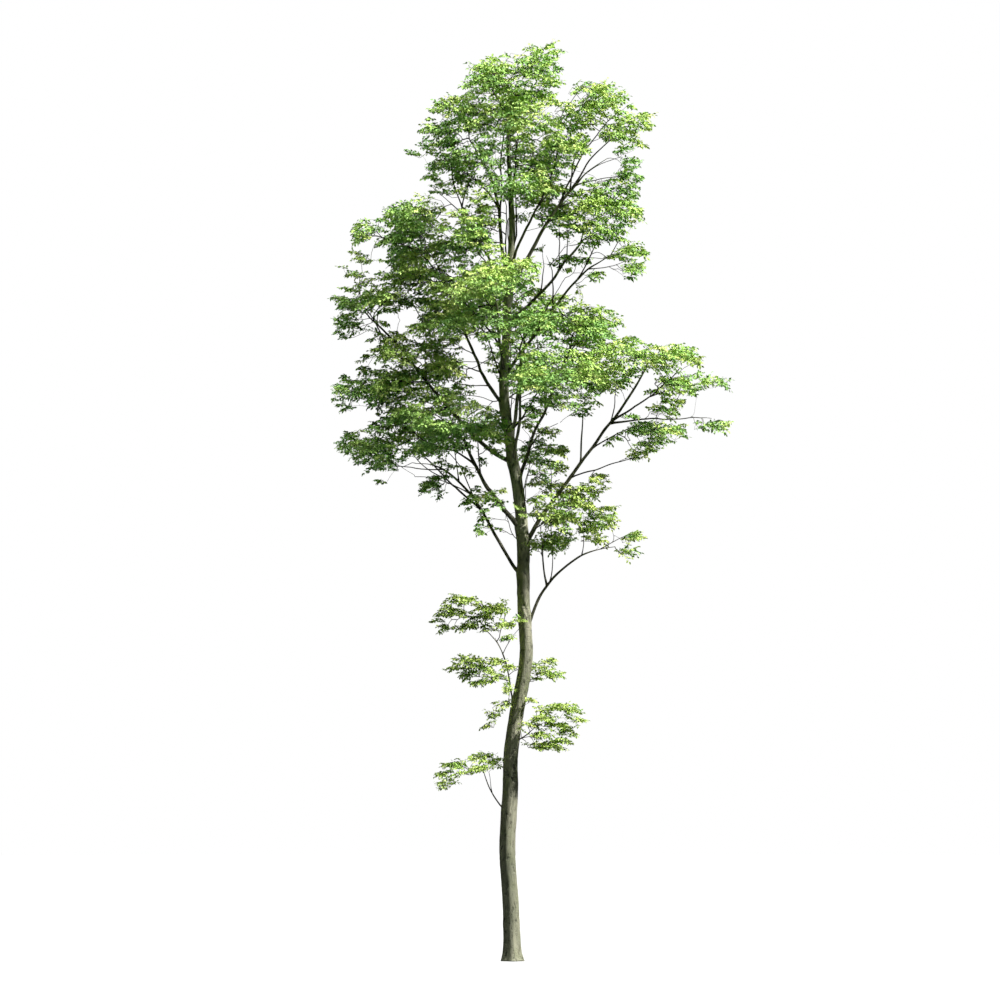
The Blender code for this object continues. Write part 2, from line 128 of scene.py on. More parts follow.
# Finer limbs that show between the leaves, in the same measures.
LIMBS = [
    # right
    ("limb_right_tip", "bough_right_main", 0.70, -8, 2, (6, 3, -4), 1.95, 0.044, 0.014),
    ("limb_right_outer", "bough_right_main", 0.72, 14, 8, (25, 38, 55), 1.65, 0.046, 0.018),
    ("limb_right_far", "limb_right_outer", 0.52, 6, 2, (20, 12, 0), 1.42, 0.026, 0.012),
    ("limb_right_mid", "bough_right_main", 0.70, 60, 40, (64, 76, 80), 0.90, 0.026, 0.012),
    ("limb_right_shelf", "bough_right_main", 0.57, 25, 15, (26, 26, 22), 0.95, 0.036, 0.014),
    ("limb_right_under", "bough_right_main", 0.40, -20, -8, (24, 14, 20), 1.55, 0.034, 0.012),
    ("limb_right_inward", "bough_right_main", 0.26, 110, 150, (84, 88, 70), 0.75, 0.024, 0.012),
    ("limb_right_level", "bough_right_main", 0.10, -40, -20, (24, 26, 20), 1.15, 0.030, 0.012),
    ("limb_fork_side", "bough_right_low", 0.74, 30, 60, (72, 84, 66), 0.60, 0.020, 0.010),
    ("limb_fork_pair", "bough_right_low", 0.46, 60, 90, (60, 86, 84), 0.75, 0.024, 0.012),
    ("limb_fork_end", "bough_right_low", 0.90, 10, 20, (30, 24, 20), 0.70, 0.020, 0.010),
    # left
    ("limb_left_hook", "bough_left_long", 0.70, 188, 196, (2, 62, 38), 1.45, 0.044, 0.018),
    ("limb_left_upright", "bough_left_long", 0.58, 140, 60, (78, 90, 78), 0.80, 0.030, 0.014),
    ("limb_left_level", "bough_left_long", 0.42, 205, 190, (8, 14, 20), 0.85, 0.028, 0.012),
    ("limb_high_left", "bough_left_high", 1.00, 190, 178, (66, 58, 24), 1.85, 0.050, 0.018),
    ("limb_high_up", "bough_left_high", 0.98, -40, -70, (88, 84, 90), 1.55, 0.044, 0.018),
    ("limb_high_inner", "limb_high_left", 0.42, 170, 160, (72, 60, 48), 0.85, 0.028, 0.012),
    ("limb_high_level", "bough_left_high", 0.30, 215, 195, (2, 4, 26), 0.80, 0.024, 0.010),
    ("limb_stem_left", "trunk", 10.40, 215, 190, (80, 72, 58), 1.55, 0.038, 0.018),
    ("limb_stem_back", "trunk", 11.15, 150, 158, (64, 50, 40), 1.50, 0.054, 0.020),
    ("limb_main_left", "bough_left_main", 0.72, 205, 190, (44, 18, 52), 1.45, 0.046, 0.018),
    ("limb_main_up", "bough_left_main", 0.80, 150, 140, (62, 70, 76), 0.95, 0.032, 0.014),
    ("limb_low_climber", "bough_left_low", 0.50, 168, 172, (38, 44, 42), 1.90, 0.048, 0.018),
    ("limb_low_steep", "bough_left_low", 0.70, 150, 130, (84, 78, 72), 0.90, 0.026, 0.012),
    ("limb_low_trailing", "bough_left_low", 0.62, 200, 190, (26, 18, 6), 1.10, 0.026, 0.012),
    ("limb_low_fan", "bough_left_low", 0.56, 160, 172, (58, 62, 30), 1.25, 0.030, 0.012),
    ("limb_climber_fan", "limb_low_climber", 0.45, 175, 185, (20, 40, 60), 0.95, 0.026, 0.012),
    ("limb_main_fan", "bough_left_main", 0.90, 215, 190, (66, 38, 30), 1.20, 0.036, 0.014),
    ("limb_main_steep", "bough_left_main", 0.62, 160, 130, (80, 86, 70), 1.20, 0.030, 0.014),
    ("limb_low_outer", "bough_left_low", 0.84, 196, 184, (-6, 6, 14), 1.05, 0.028, 0.012),
    ("limb_under_left", "trunk", 7.75, 200, 170, (10, 70, 60), 0.75, 0.020, 0.010),
    # crown
    ("limb_crown_left", "trunk", 12.45, 198, 186, (52, 64, 82), 2.65, 0.054, 0.018),
    ("limb_crown_left_in", "limb_crown_left", 0.66, 20, 10, (76, 66, 48), 0.95, 0.028, 0.014),
    ("limb_crown_left_out", "limb_crown_left", 0.60, 195, 180, (34, 40, 50), 0.85, 0.024, 0.012),
    ("limb_top_left", "bough_top_left", 0.55, 172, 180, (62, 40, 34), 1.40, 0.040, 0.016),
    ("limb_top_front", "bough_top_left", 0.48, -60, -40, (84, 86, 78), 1.85, 0.042, 0.018),
    ("limb_stem_top_back", "trunk", 14.00, 100, 120, (78, 86, 80), 1.60, 0.044, 0.016),
    ("limb_stem_beside", "trunk", 12.95, -40, -70, (72, 90, 88), 2.30, 0.040, 0.016),
    ("limb_stem_beside_left", "trunk", 13.60, 205, 230, (76, 90, 84), 1.80, 0.034, 0.014),
    ("limb_top_left_thin", "bough_top_left", 0.36, 190, 170, (84, 76, 60), 1.30, 0.028, 0.012),
    ("limb_stem_top_right", "trunk", 14.15, -50, -20, (74, 84, 72), 1.45, 0.042, 0.016),
    ("limb_top_mid", "bough_top_centre", 0.80, 20, 10, (62, 74, 86), 1.35, 0.040, 0.016),
    ("limb_top_right_up", "bough_top_right", 0.62, -20, -5, (74, 58, 46), 1.80, 0.042, 0.016),
    ("limb_top_right_fork", "bough_top_right", 0.72, 20, 10, (60, 50, 36), 1.25, 0.044, 0.018),
    ("limb_top_right_spire", "bough_top_right", 0.70, 50, 30, (84, 74, 72), 1.25, 0.032, 0.014),
    ("limb_top_right_level", "bough_top_right", 0.74, -20, -10, (24, 8, 10), 0.90, 0.026, 0.012),
    ("limb_top_right_last", "bough_top_right", 0.86, -25, -10, (30, 24, 10), 0.70, 0.022, 0.010),
    ("limb_upper_right_up", "bough_upper_right", 0.66, 110, 80, (80, 90, 84), 0.95, 0.028, 0.012),
    ("limb_upper_right_mid", "bough_upper_right", 0.78, -60, -40, (80, 86, 78), 0.75, 0.024, 0.012),
    ("limb_upper_right_end", "bough_upper_right", 0.96, 30, 10, (70, 88, 72), 0.95, 0.028, 0.012),
    ("limb_right_upper_steep", "bough_right_upper", 0.30, 20, 10, (64, 60, 56), 1.30, 0.034, 0.014),
    ("limb_upper_right_steep", "bough_upper_right", 0.40, 60, 90, (64, 84, 88), 0.95, 0.030, 0.012),
    ("limb_right_upper_up", "bough_right_upper", 0.52, 200, 170, (84, 86, 58), 1.05, 0.036, 0.014),
    ("limb_right_upper_out", "bough_right_upper", 0.76, 20, 10, (58, 64, 76), 1.35, 0.034, 0.014),
    ("limb_right_upper_low", "bough_right_upper", 0.84, -20, -10, (0, 14, 16), 0.80, 0.022, 0.010),
    # middle
    ("limb_inner_fork", "bough_right_inner", 0.55, 150, 100, (84, 80, 70), 0.95, 0.032, 0.014),
    ("limb_inner_low", "bough_right_inner", 0.22, -30, -10, (60, 40, 14), 0.85, 0.024, 0.012),
    ("limb_inner_up", "bough_right_inner", 0.72, 40, 20, (62, 58, 54), 1.50, 0.046, 0.018),
    ("limb_stem_right", "trunk", 9.75, -35, -25, (44, 54, 60), 1.70, 0.044, 0.018),
    ("limb_stem_front", "trunk", 9.60, -85, -30, (84, 84, 62), 1.45, 0.038, 0.016),
    ("limb_stem_behind", "trunk", 10.20, 75, 95, (56, 50, 52), 1.60, 0.046, 0.018),
    ("limb_under_right", "trunk", 7.45, -20, -10, (54, 36, 6), 0.75, 0.024, 0.010),
    ("limb_under_front", "trunk", 8.15, -70, -30, (80, 88, 56), 1.25, 0.026, 0.012),
    ("limb_under_far", "trunk", 8.10, -55, -30, (70, 80, 46), 1.30, 0.026, 0.012),
    ("limb_under_back", "trunk", 8.30, 70, 80, (56, 60, 50), 1.20, 0.030, 0.014),
    ("limb_crown_back", "trunk", 12.10, 85, 92, (50, 60, 66), 1.90, 0.050, 0.018),
    ("limb_crown_front", "trunk", 12.35, -95, -88, (54, 62, 70), 1.80, 0.050, 0.018),
    ("limb_crown_right", "trunk", 12.20, 10, 25, (50, 40, 24), 0.80, 0.030, 0.014),
    # the tufts low on the stem
    ("limb_tuft_left_mid", "bough_low_left", 0.42, 190, 182, (14, 4, -10), 0.80, 0.018, 0.009),
    ("limb_tuft_left_top", "bough_low_left", 0.62, 150, 130, (60, 66, 40), 0.50, 0.016, 0.009),
    ("limb_tuft_left_under", "trunk", 4.72, 190, 180, (30, -4, -40), 0.50, 0.016, 0.008),
    ("limb_tuft_right_high", "trunk", 5.02, 25, 10, (46, 34, 14), 0.55, 0.018, 0.009),
    ("limb_tuft_right", "bough_low_right", 0.90, 15, 10, (44, 26, 4), 0.60, 0.018, 0.008),
    ("limb_tuft_right_low", "bough_low_right", 0.60, -30, -20, (20, 4, -12), 0.50, 0.016, 0.008),
    ("limb_tuft_foot_up", "bough_low_left_foot", 0.50, 160, 150, (74, 84, 60), 0.45, 0.016, 0.008),
    ("limb_tuft_foot_out", "bough_low_left_foot", 0.96, 185, 178, (20, 4, -16), 0.60, 0.016, 0.008),
]

# Where foliage shows, by part of the tree: each clump's centre, half sizes and fullness, in picture parts.
CLUMPS = {
    "crown": [
        (546, 56, 16, 13, 1.0), (536, 72, 26, 15, 1.0), (534, 48, 8, 6, 0.8), (557, 51, 8, 6, 0.9), (560, 66, 8, 4, 0.8),
        (493, 77, 27, 20, 1.0), (500, 63, 15, 8, 0.9), (515, 110, 22, 36, 0.95), (474, 97, 17, 12, 0.9), (548, 86, 18, 8, 0.8),
        (436, 110, 11, 8, 1.0), (443, 102, 9, 4, 0.8), (462, 108, 20, 13, 1.0), (450, 136, 14, 17, 1.0), (460, 158, 22, 10, 1.0),
        (480, 150, 12, 13, 0.8), (478, 125, 14, 10, 0.9), (430, 129, 12, 6, 0.9), (429, 115, 5, 4, 0.8), (425, 145, 13, 7, 0.9),
        (412, 153, 10, 4, 1.0), (438, 156, 11, 9, 0.9), (431, 165, 10, 5, 0.8), (434, 178, 13, 8, 1.0), (438, 192, 12, 5, 0.6),
        (460, 176, 17, 10, 0.85), (460, 194, 11, 6, 0.6), (486, 197, 9, 5, 0.9), (489, 207, 9, 5, 0.9), (550, 81, 8, 4, 0.8),
        (490, 160, 16, 20, 0.6), (517, 161, 12, 14, 0.8), (550, 97, 8, 6, 0.8), 
    ],
    "upper right": [
        (600, 99, 24, 13, 1.0), (597, 87, 10, 5, 0.9), (621, 99, 11, 6, 0.9), (627, 105, 8, 4, 0.9), (573, 91, 6, 4, 0.6),
        (640, 120, 14, 10, 1.0), (648, 118, 7, 7, 0.9), (622, 132, 18, 13, 1.0), (614, 118, 10, 7, 1.0), (643, 143, 8, 7, 0.9),
        (563, 113, 16, 9, 0.95), (551, 130, 17, 15, 0.9), (576, 126, 12, 12, 0.7), (590, 120, 12, 10, 0.6), (587, 139, 7, 6, 0.8),
        (570, 148, 7, 9, 0.5), (540, 165, 20, 17, 0.9), (545, 188, 22, 13, 0.95), (628, 160, 12, 14, 0.9), (618, 149, 6, 7, 0.9),
        (628, 178, 12, 12, 0.9), (624, 187, 9, 6, 0.9), (600, 197, 22, 12, 1.0), (622, 206, 15, 13, 1.0), (595, 219, 16, 11, 0.75),
        (617, 225, 14, 8, 0.9), (600, 235, 16, 7, 0.9), (560, 212, 18, 13, 1.0), (562, 233, 12, 6, 0.8), (572, 163, 9, 8, 0.7),
        (633, 246, 13, 5, 1.0), (627, 254, 18, 7, 0.95), (633, 265, 15, 8, 0.95), (641, 262, 7, 8, 0.8), (631, 276, 8, 5, 0.9),
        (542, 247, 14, 5, 1.0), (554, 257, 6, 7, 0.8), (567, 255, 9, 8, 0.5), (582, 256, 9, 6, 0.9), (566, 271, 6, 8, 0.6),
        (593, 275, 10, 5, 1.0), (580, 286, 5, 4, 0.8), (598, 190, 12, 6, 0.8), (580, 200, 10, 7, 0.8), (615, 240, 9, 5, 0.8), (643, 249, 8, 6, 1.0),
        (637, 180, 6, 10, 0.8), (637, 208, 7, 8, 0.8), (588, 184, 8, 5, 0.8), (583, 148, 8, 6, 0.8), (562, 297, 11, 4, 0.8), (585, 85, 8, 4, 0.8),
        (572, 226, 10, 5, 0.8), (520, 217, 5, 6, 0.7), (602, 132, 8, 7, 0.6),
    ],
    "left": [
        (412, 216, 28, 17, 1.0), (395, 215, 12, 7, 1.0), (366, 224, 12, 6, 1.0), (435, 211, 11, 8, 0.9), (367, 231, 14, 9, 1.0), (357, 236, 5, 4, 0.8),
        (464, 212, 9, 11, 1.0), (484, 209, 8, 4, 0.8), (484, 226, 11, 8, 0.9), (470, 226, 12, 8, 0.9), (475, 240, 24, 18, 0.95),
        (361, 254, 14, 7, 1.0), (355, 272, 12, 7, 1.0), (344, 320, 11, 7, 0.9), (366, 357, 9, 7, 0.9), (385, 322, 12, 4, 0.8), (352, 308, 12, 8, 0.9), (443, 226, 7, 5, 0.8), (368, 280, 13, 6, 0.9), (410, 260, 26, 26, 0.9), (485, 288, 45, 34, 1.0),
        (346, 296, 15, 10, 1.0), (372, 297, 18, 11, 1.0), (391, 303, 10, 9, 0.8), (341, 313, 7, 8, 0.9), (346, 325, 12, 7, 0.9),
        (358, 324, 8, 8, 0.8), (344, 335, 9, 4, 0.9), (443, 312, 26, 20, 1.0), (388, 334, 24, 7, 0.9), (387, 348, 13, 6, 0.8),
        (363, 366, 8, 5, 0.7), (436, 345, 20, 13, 0.6), (392, 380, 31, 20, 1.0), (417, 386, 13, 7, 1.0), (345, 388, 13, 8, 1.0),
        (336, 392, 7, 6, 0.9), (342, 406, 9, 7, 1.0), (343, 446, 8, 6, 0.8), (345, 376, 6, 4, 0.8), (445, 372, 26, 24, 0.65), (456, 464, 12, 5, 0.8),
        (410, 418, 30, 18, 1.0), (371, 445, 27, 15, 1.0), (386, 461, 18, 12, 1.0), (351, 438, 12, 9, 0.9), (362, 461, 10, 6, 0.9),
        (377, 478, 10, 6, 1.0), (445, 428, 33, 13, 1.0), (428, 446, 22, 8, 0.8), (487, 413, 11, 6, 0.9), (483, 428, 18, 13, 0.65),
        (498, 443, 9, 12, 0.9), (500, 418, 6, 8, 0.6), (442, 459, 13, 5, 0.7), (468, 473, 8, 4, 0.7), (484, 458, 6, 5, 0.7),
        (432, 479, 13, 7, 1.0), (424, 490, 6, 8, 0.9), (436, 499, 7, 6, 0.9), (444, 474, 7, 6, 0.6),
        (490, 338, 9, 13, 0.8), (494, 366, 6, 12, 0.6), (492, 254, 8, 7, 0.8), (438, 488, 9, 7, 1.0), (522, 204, 6, 8, 0.8),
        (484, 496, 16, 8, 0.95), (478, 486, 9, 5, 0.9), (467, 501, 8, 7, 1.0), (499, 503, 8, 5, 0.7), (482, 516, 9, 9, 0.9), (482, 529, 9, 4, 0.9),
        (498, 526, 9, 6, 0.7), (505, 489, 7, 3, 0.6), (521, 512, 7, 6, 0.7),
    ],
    "middle and right": [
        (524, 267, 16, 8, 0.9), (524, 283, 15, 7, 0.9), (535, 318, 26, 26, 0.95), (588, 326, 30, 20, 1.0), (613, 320, 9, 6, 0.9),
        (530, 372, 28, 28, 0.95), (592, 372, 31, 24, 1.0), (580, 409, 14, 9, 0.9), (588, 395, 14, 7, 0.9), (566, 400, 12, 8, 0.8),
        (632, 349, 14, 11, 1.0), (622, 374, 9, 12, 0.8), (672, 355, 26, 12, 1.0), (653, 390, 10, 4, 0.8), (690, 352, 9, 8, 0.9),
        (697, 359, 6, 5, 0.9), (675, 380, 24, 6, 0.95), (668, 396, 13, 7, 1.0), (681, 397, 9, 7, 1.0), (690, 388, 13, 5, 0.8),
        (712, 378, 16, 5, 1.0), (724, 382, 9, 4, 1.0), (663, 408, 19, 5, 0.9), (640, 428, 19, 8, 1.0),
        (663, 426, 19, 6, 1.0), (633, 414, 8, 4, 0.7), (710, 422, 13, 4, 1.0), (722, 425, 9, 5, 1.0), (698, 387, 8, 4, 0.8), (698, 425, 5, 3, 0.6),
        (645, 448, 16, 8, 0.95), (630, 456, 9, 5, 0.9), (611, 438, 7, 8, 0.9),
    ],
    "under": [
        (534, 408, 11, 9, 0.8), (525, 426, 10, 9, 0.8), (523, 444, 9, 8, 0.8), (524, 461, 7, 9, 0.7), (545, 431, 17, 6, 0.9),
        (552, 446, 19, 5, 1.0), (538, 440, 10, 5, 0.8), (551, 463, 17, 7, 1.0), (562, 470, 8, 5, 0.8), (563, 450, 9, 5, 0.9), (537, 456, 12, 5, 0.8), (604, 480, 8, 7, 1.0), (530, 450, 10, 20, 0.4),
        (538, 474, 11, 6, 0.9), (541, 483, 14, 5, 0.8), (533, 497, 10, 5, 0.7), (545, 496, 9, 4, 0.7), (584, 489, 22, 8, 1.0), (598, 475, 11, 4, 1.0),
        (559, 489, 8, 5, 0.7), (560, 515, 22, 12, 1.0), (537, 513, 10, 6, 0.9), (603, 513, 17, 8, 1.0), (613, 517, 9, 7, 1.0),
        (590, 524, 20, 8, 0.9), (575, 503, 16, 4, 0.8), (555, 534, 20, 6, 0.9), (552, 543, 21, 7, 1.0), (531, 540, 9, 5, 0.8),
        (590, 536, 14, 5, 1.0), (634, 536, 16, 5, 1.0), (627, 550, 14, 6, 1.0), (602, 541, 8, 4, 0.8),
    ],
    "low tufts": [
        (457, 597, 12, 6, 1.0), (451, 606, 10, 6, 1.0), (448, 626, 8, 6, 1.0), (502, 604, 8, 5, 0.9), (470, 599, 14, 8, 1.0), (488, 606, 15, 7, 1.0), (443, 612, 8, 7, 1.0), (458, 612, 14, 8, 1.0),
        (442, 621, 8, 6, 1.0), (470, 624, 14, 6, 1.0), (482, 615, 14, 8, 1.0), (498, 609, 11, 6, 1.0), (505, 622, 13, 7, 1.0),
        (508, 636, 6, 4, 0.7), (521, 620, 6, 6, 0.8), (489, 627, 9, 5, 0.9),
        (470, 659, 18, 5, 1.0), (458, 666, 11, 7, 1.0), (478, 665, 14, 5, 0.9), (479, 681, 10, 5, 1.0), (471, 673, 12, 5, 0.9), (491, 671, 9, 5, 0.9), (490, 679, 9, 5, 0.8),
        (498, 660, 12, 6, 1.0), (512, 666, 9, 10, 0.9), (500, 676, 8, 5, 0.8),
        (508, 688, 8, 7, 1.0), (505, 702, 8, 6, 0.9), (495, 712, 9, 6, 0.9), (488, 724, 6, 6, 0.9),
        (536, 664, 9, 7, 1.0), (548, 660, 9, 5, 0.8), (545, 671, 12, 7, 1.0), (556, 674, 8, 5, 1.0), (535, 678, 7, 6, 0.9), (529, 702, 6, 8, 0.8),
        (560, 707, 16, 6, 1.0), (572, 708, 11, 7, 1.0), (576, 718, 8, 5, 1.0), (560, 740, 12, 6, 1.0), (543, 708, 9, 5, 0.9), (525, 724, 6, 6, 0.9), (544, 716, 14, 7, 1.0), (556, 723, 14, 6, 1.0), (533, 724, 9, 7, 0.9),
        (566, 731, 12, 6, 1.0), (541, 733, 12, 6, 1.0), (548, 744, 16, 7, 1.0), (534, 744, 8, 6, 0.9),
        (482, 757, 14, 6, 1.0), (498, 759, 8, 4, 0.9), (480, 766, 13, 6, 1.0), (494, 763, 8, 5, 0.9), (456, 764, 14, 6, 1.0), (445, 769, 10, 7, 1.0),
        (449, 780, 8, 5, 1.0), (462, 771, 10, 5, 0.9), (444, 784, 7, 5, 0.9),
    ],
}
# The wider bodies that the clumps belong to.
BODIES = [
    (505, 140, 36, 48, 0.8), (548, 150, 24, 44, 0.8), (500, 186, 34, 26, 0.55), (552, 200, 30, 24, 0.7), (600, 212, 38, 24, 0.85), (590, 250, 32, 18, 0.4),
    (626, 190, 18, 46, 0.85), (432, 240, 48, 34, 0.9), (388, 242, 26, 28, 0.9), (398, 285, 40, 18, 0.9), (468, 262, 46, 40, 0.9), (455, 305, 44, 28, 0.9),
    (505, 325, 28, 28, 0.6), (540, 350, 36, 50, 0.9), (585, 350, 42, 44, 0.9), (398, 345, 34, 18, 0.5), (440, 350, 24, 34, 0.55), (403, 405, 44, 44, 0.9),
    (455, 405, 24, 32, 0.5), (488, 430, 24, 26, 0.4), (432, 435, 44, 22, 0.8), (575, 508, 42, 30, 0.6), (655, 368, 40, 22, 0.7), (652, 428, 40, 16, 0.6),
]
# Where the sky shows between them.
SKY = [
    (469, 137, 11, 7), (446, 215, 4, 6), (494, 233, 4, 8), (484, 170, 3, 8), (472, 187, 3, 5), (531, 207, 7, 5),
    (552, 113, 8, 5), (567, 96, 9, 5), (606, 160, 9, 16), (594, 171, 5, 7), (612, 246, 8, 6), (523, 246, 4, 12), (549, 237, 8, 4),
    (545, 276, 7, 12), (575, 243, 5, 8), (409, 311, 13, 7), (380, 250, 9, 4), (386, 266, 7, 4), (348, 360, 10, 12), (471, 353, 9, 20), (484, 391, 12, 9),
    (361, 411, 12, 10), (341, 424, 9, 8), (488, 472, 14, 12), (452, 490, 6, 10), (569, 430, 6, 6), (572, 440, 5, 10), (598, 430, 10, 22), (630, 389, 4, 5), (601, 257, 6, 8),
    (649, 381, 12, 5), (636, 402, 14, 4), (702, 405, 24, 6), (620, 300, 12, 12), (602, 467, 22, 4), (604, 290, 18, 8), (505, 466, 4, 10), (603, 503, 10, 2),
    (508, 224, 3, 16), (580, 299, 6, 3), (576, 470, 8, 6), (412, 468, 12, 4), (643, 197, 5, 8),
]

# How far a limb strays from its course, where that is more or less than the others.
SWAY = {"bough_right_hanger": 0.060, "bough_right_low": 0.022, "bough_right_main": 0.030}

GROUPS = ("crown", "upper", "left", "right", "centre", "low")


# ------------------------------------------------------------------ small tools
def unit(v):
    v = np.asarray(v, float)
    return v / np.maximum(np.linalg.norm(v, axis=-1, keepdims=True), 1e-9)


def curve_through(points, step):
    """A smooth open curve through the points, with samples about step apart."""
    points = np.asarray(points, float)
    padded = np.vstack([2 * points[0] - points[1], points, 2 * points[-1] - points[-2]])
    made = []
    for i in range(1, len(padded) - 2):
        a, b, c, d = padded[i - 1 : i + 3]
        n = max(1, round(float(np.linalg.norm(c[:3] - b[:3])) / step))
        t = (np.arange(n) / n)[:, None]
        made.append(0.5 * (2 * b + (c - a) * t + (2 * a - 5 * b + 4 * c - d) * t**2 + (3 * b - a - 3 * c + d) * t**3))
    return np.vstack([*made, points[-1:]])


def station(z):
    """(centre, radius) of the stem at height z."""
    z = min(max(z, STEM[0, 0]), STEM[-1, 0])
    i = int(np.searchsorted(STEM[:, 0], z, side="right")) - 1
    i = min(i, len(STEM) - 2)
    a, b = STEM[i], STEM[i + 1]
    before, after = STEM[max(i - 1, 0)], STEM[min(i + 2, len(STEM) - 1)]
    span = b[0] - a[0]
    t = (z - a[0]) / span
    m0 = (b - before) / max(b[0] - before[0], 1e-6) * span
    m1 = (after - a) / max(after[0] - a[0], 1e-6) * span
    at = (2 * t**3 - 3 * t**2 + 1) * a + (t**3 - 2 * t**2 + t) * m0 + (-2 * t**3 + 3 * t**2) * b + (t**3 - t**2) * m1
    return np.array((at[1], at[2], z)), at[3] / 2


def limb_path(foot, bearings, pitches, length, steps=48):
    points = [np.asarray(foot, float)]
    for i in range(steps):
        s = (i + 0.5) / steps
        low, mid, high = (math.radians(p) for p in pitches)
        pitch = low * 2 * (s - 0.5) * (s - 1) - mid * 4 * s * (s - 1) + high * 2 * s * (s - 0.5)
        bearing = math.radians(bearings[0] + (bearings[1] - bearings[0]) * s)
        step = np.array((math.cos(pitch) * math.cos(bearing), math.cos(pitch) * math.sin(bearing), math.sin(pitch)))
        points.append(points[-1] + step * (length / steps))
    return np.array(points)


def wander(path, amount, seed):
    """The path with a limb's small crooks, none at its foot."""
    out = path.copy()
    run = np.concatenate([[0], np.cumsum(np.linalg.norm(np.diff(path, axis=0), axis=1))])
    for i, d in enumerate(run):
        ease = min(1.0, d / 0.5)
        for k in range(3):
            out[i, k] += amount * ease * (noise.noise((d * 1.9, seed * 3.7 + k * 11.3, 0.5)) + 0.4 * noise.noise((d * 5.1, seed, k * 7.7)))
    return out


def tube_rings(path, radii, sides):
    """Centres, radii and frames of a tube's rings as an array of points (rings, sides, 3)."""
    path = np.asarray(path, float)
    tangent = unit(np.gradient(path, axis=0))
    u = np.cross(tangent[0], (0.0, 0.0, 1.0) if abs(tangent[0][2]) < 0.9 else (1.0, 0.0, 0.0))
    angles = 2 * math.pi * np.arange(sides) / sides
    rings = np.empty((len(path), sides, 3))
    for i, t in enumerate(tangent):
        u = u - t * np.dot(u, t)
        u = u / max(np.linalg.norm(u), 1e-9)
        v = np.cross(t, u)
        rings[i] = path[i] + radii[i] * (np.cos(angles)[:, None] * u + np.sin(angles)[:, None] * v)
    return rings


class Shape:
    """Vertices and faces gathered for one mesh."""

    def __init__(self):
        self.verts, self.faces, self.slots, self.count = [], [], [], 0

    def add(self, verts, faces, slot=0):
        self.verts.append(np.asarray(verts, float))
        self.faces.append(np.asarray(faces) + self.count)
        self.slots.append(np.full(len(faces), slot) if np.isscalar(slot) else np.asarray(slot))
        self.count += len(verts)

    def tube(self, path, radii, sides, rings=None, slot=0):
        rings = tube_rings(path, radii, sides) if rings is None else rings
        n, m = rings.shape[:2]
        low = np.arange(n - 1)[:, None] * m
        k = np.arange(m)[None, :]
        nxt = (k + 1) % m
        quads = np.stack([low + k, low + nxt, low + m + nxt, low + m + k], axis=-1).reshape(-1, 4)
        self.add(rings.reshape(-1, 3), quads, slot)
        # The tube's ends are closed with a fan round their middle.
        for ring, first, flip in ((rings[0], 0, True), (rings[-1], (n - 1) * m, False)):
            centre = ring.mean(0)
            self.verts.append(centre[None])
            hub = self.count
            base = self.count - n * m - (0 if flip else 1) + first
            idx = base + np.arange(m)
            other = np.roll(idx, -1)
            tri = np.stack([idx, np.full(m, hub), other], -1) if flip else np.stack([idx, other, np.full(m, hub)], -1)
            self.faces.append(tri)
            self.slots.append(np.full(m, slot))
            self.count += 1

    def triangles(self):
        return sum(len(f) * (f.shape[1] - 2) for f in self.faces)

    def mesh(self, name, materials, smooth=True):
        me = bpy.data.meshes.new(name)
        verts = np.vstack(self.verts).astype(np.float32)
        loops = np.concatenate([f.ravel() for f in self.faces]).astype(np.int32)
        sizes = np.concatenate([np.full(len(f), f.shape[1]) for f in self.faces])
        starts = np.concatenate([[0], np.cumsum(sizes)[:-1]]).astype(np.int32)
        me.vertices.add(len(verts))
        me.vertices.foreach_set("co", verts.ravel())
        me.loops.add(len(loops))
        me.loops.foreach_set("vertex_index", loops)
        me.polygons.add(len(sizes))
        me.polygons.foreach_set("loop_start", starts)
        me.polygons.foreach_set("material_index", np.concatenate(self.slots).astype(np.int32))
        me.polygons.foreach_set("use_smooth", np.full(len(sizes), smooth))
        me.update(calc_edges=True)
        me.validate()
        for mat in materials:
            me.materials.append(mat)
        obj = bpy.data.objects.new(name, me)
        bpy.context.scene.collection.objects.link(obj)
        return obj


# ------------------------------------------------------------------ materials
def principled(name, colour, roughness, specular=0.5):
    mat = bpy.data.materials.new(name)
    mat.use_nodes = True
    shader = mat.node_tree.nodes["Principled BSDF"]
    shader.inputs["Base Color"].default_value = (*colour, 1.0)
    shader.inputs["Roughness"].default_value = roughness
    shader.inputs["Specular IOR Level"].default_value = specular
    return mat


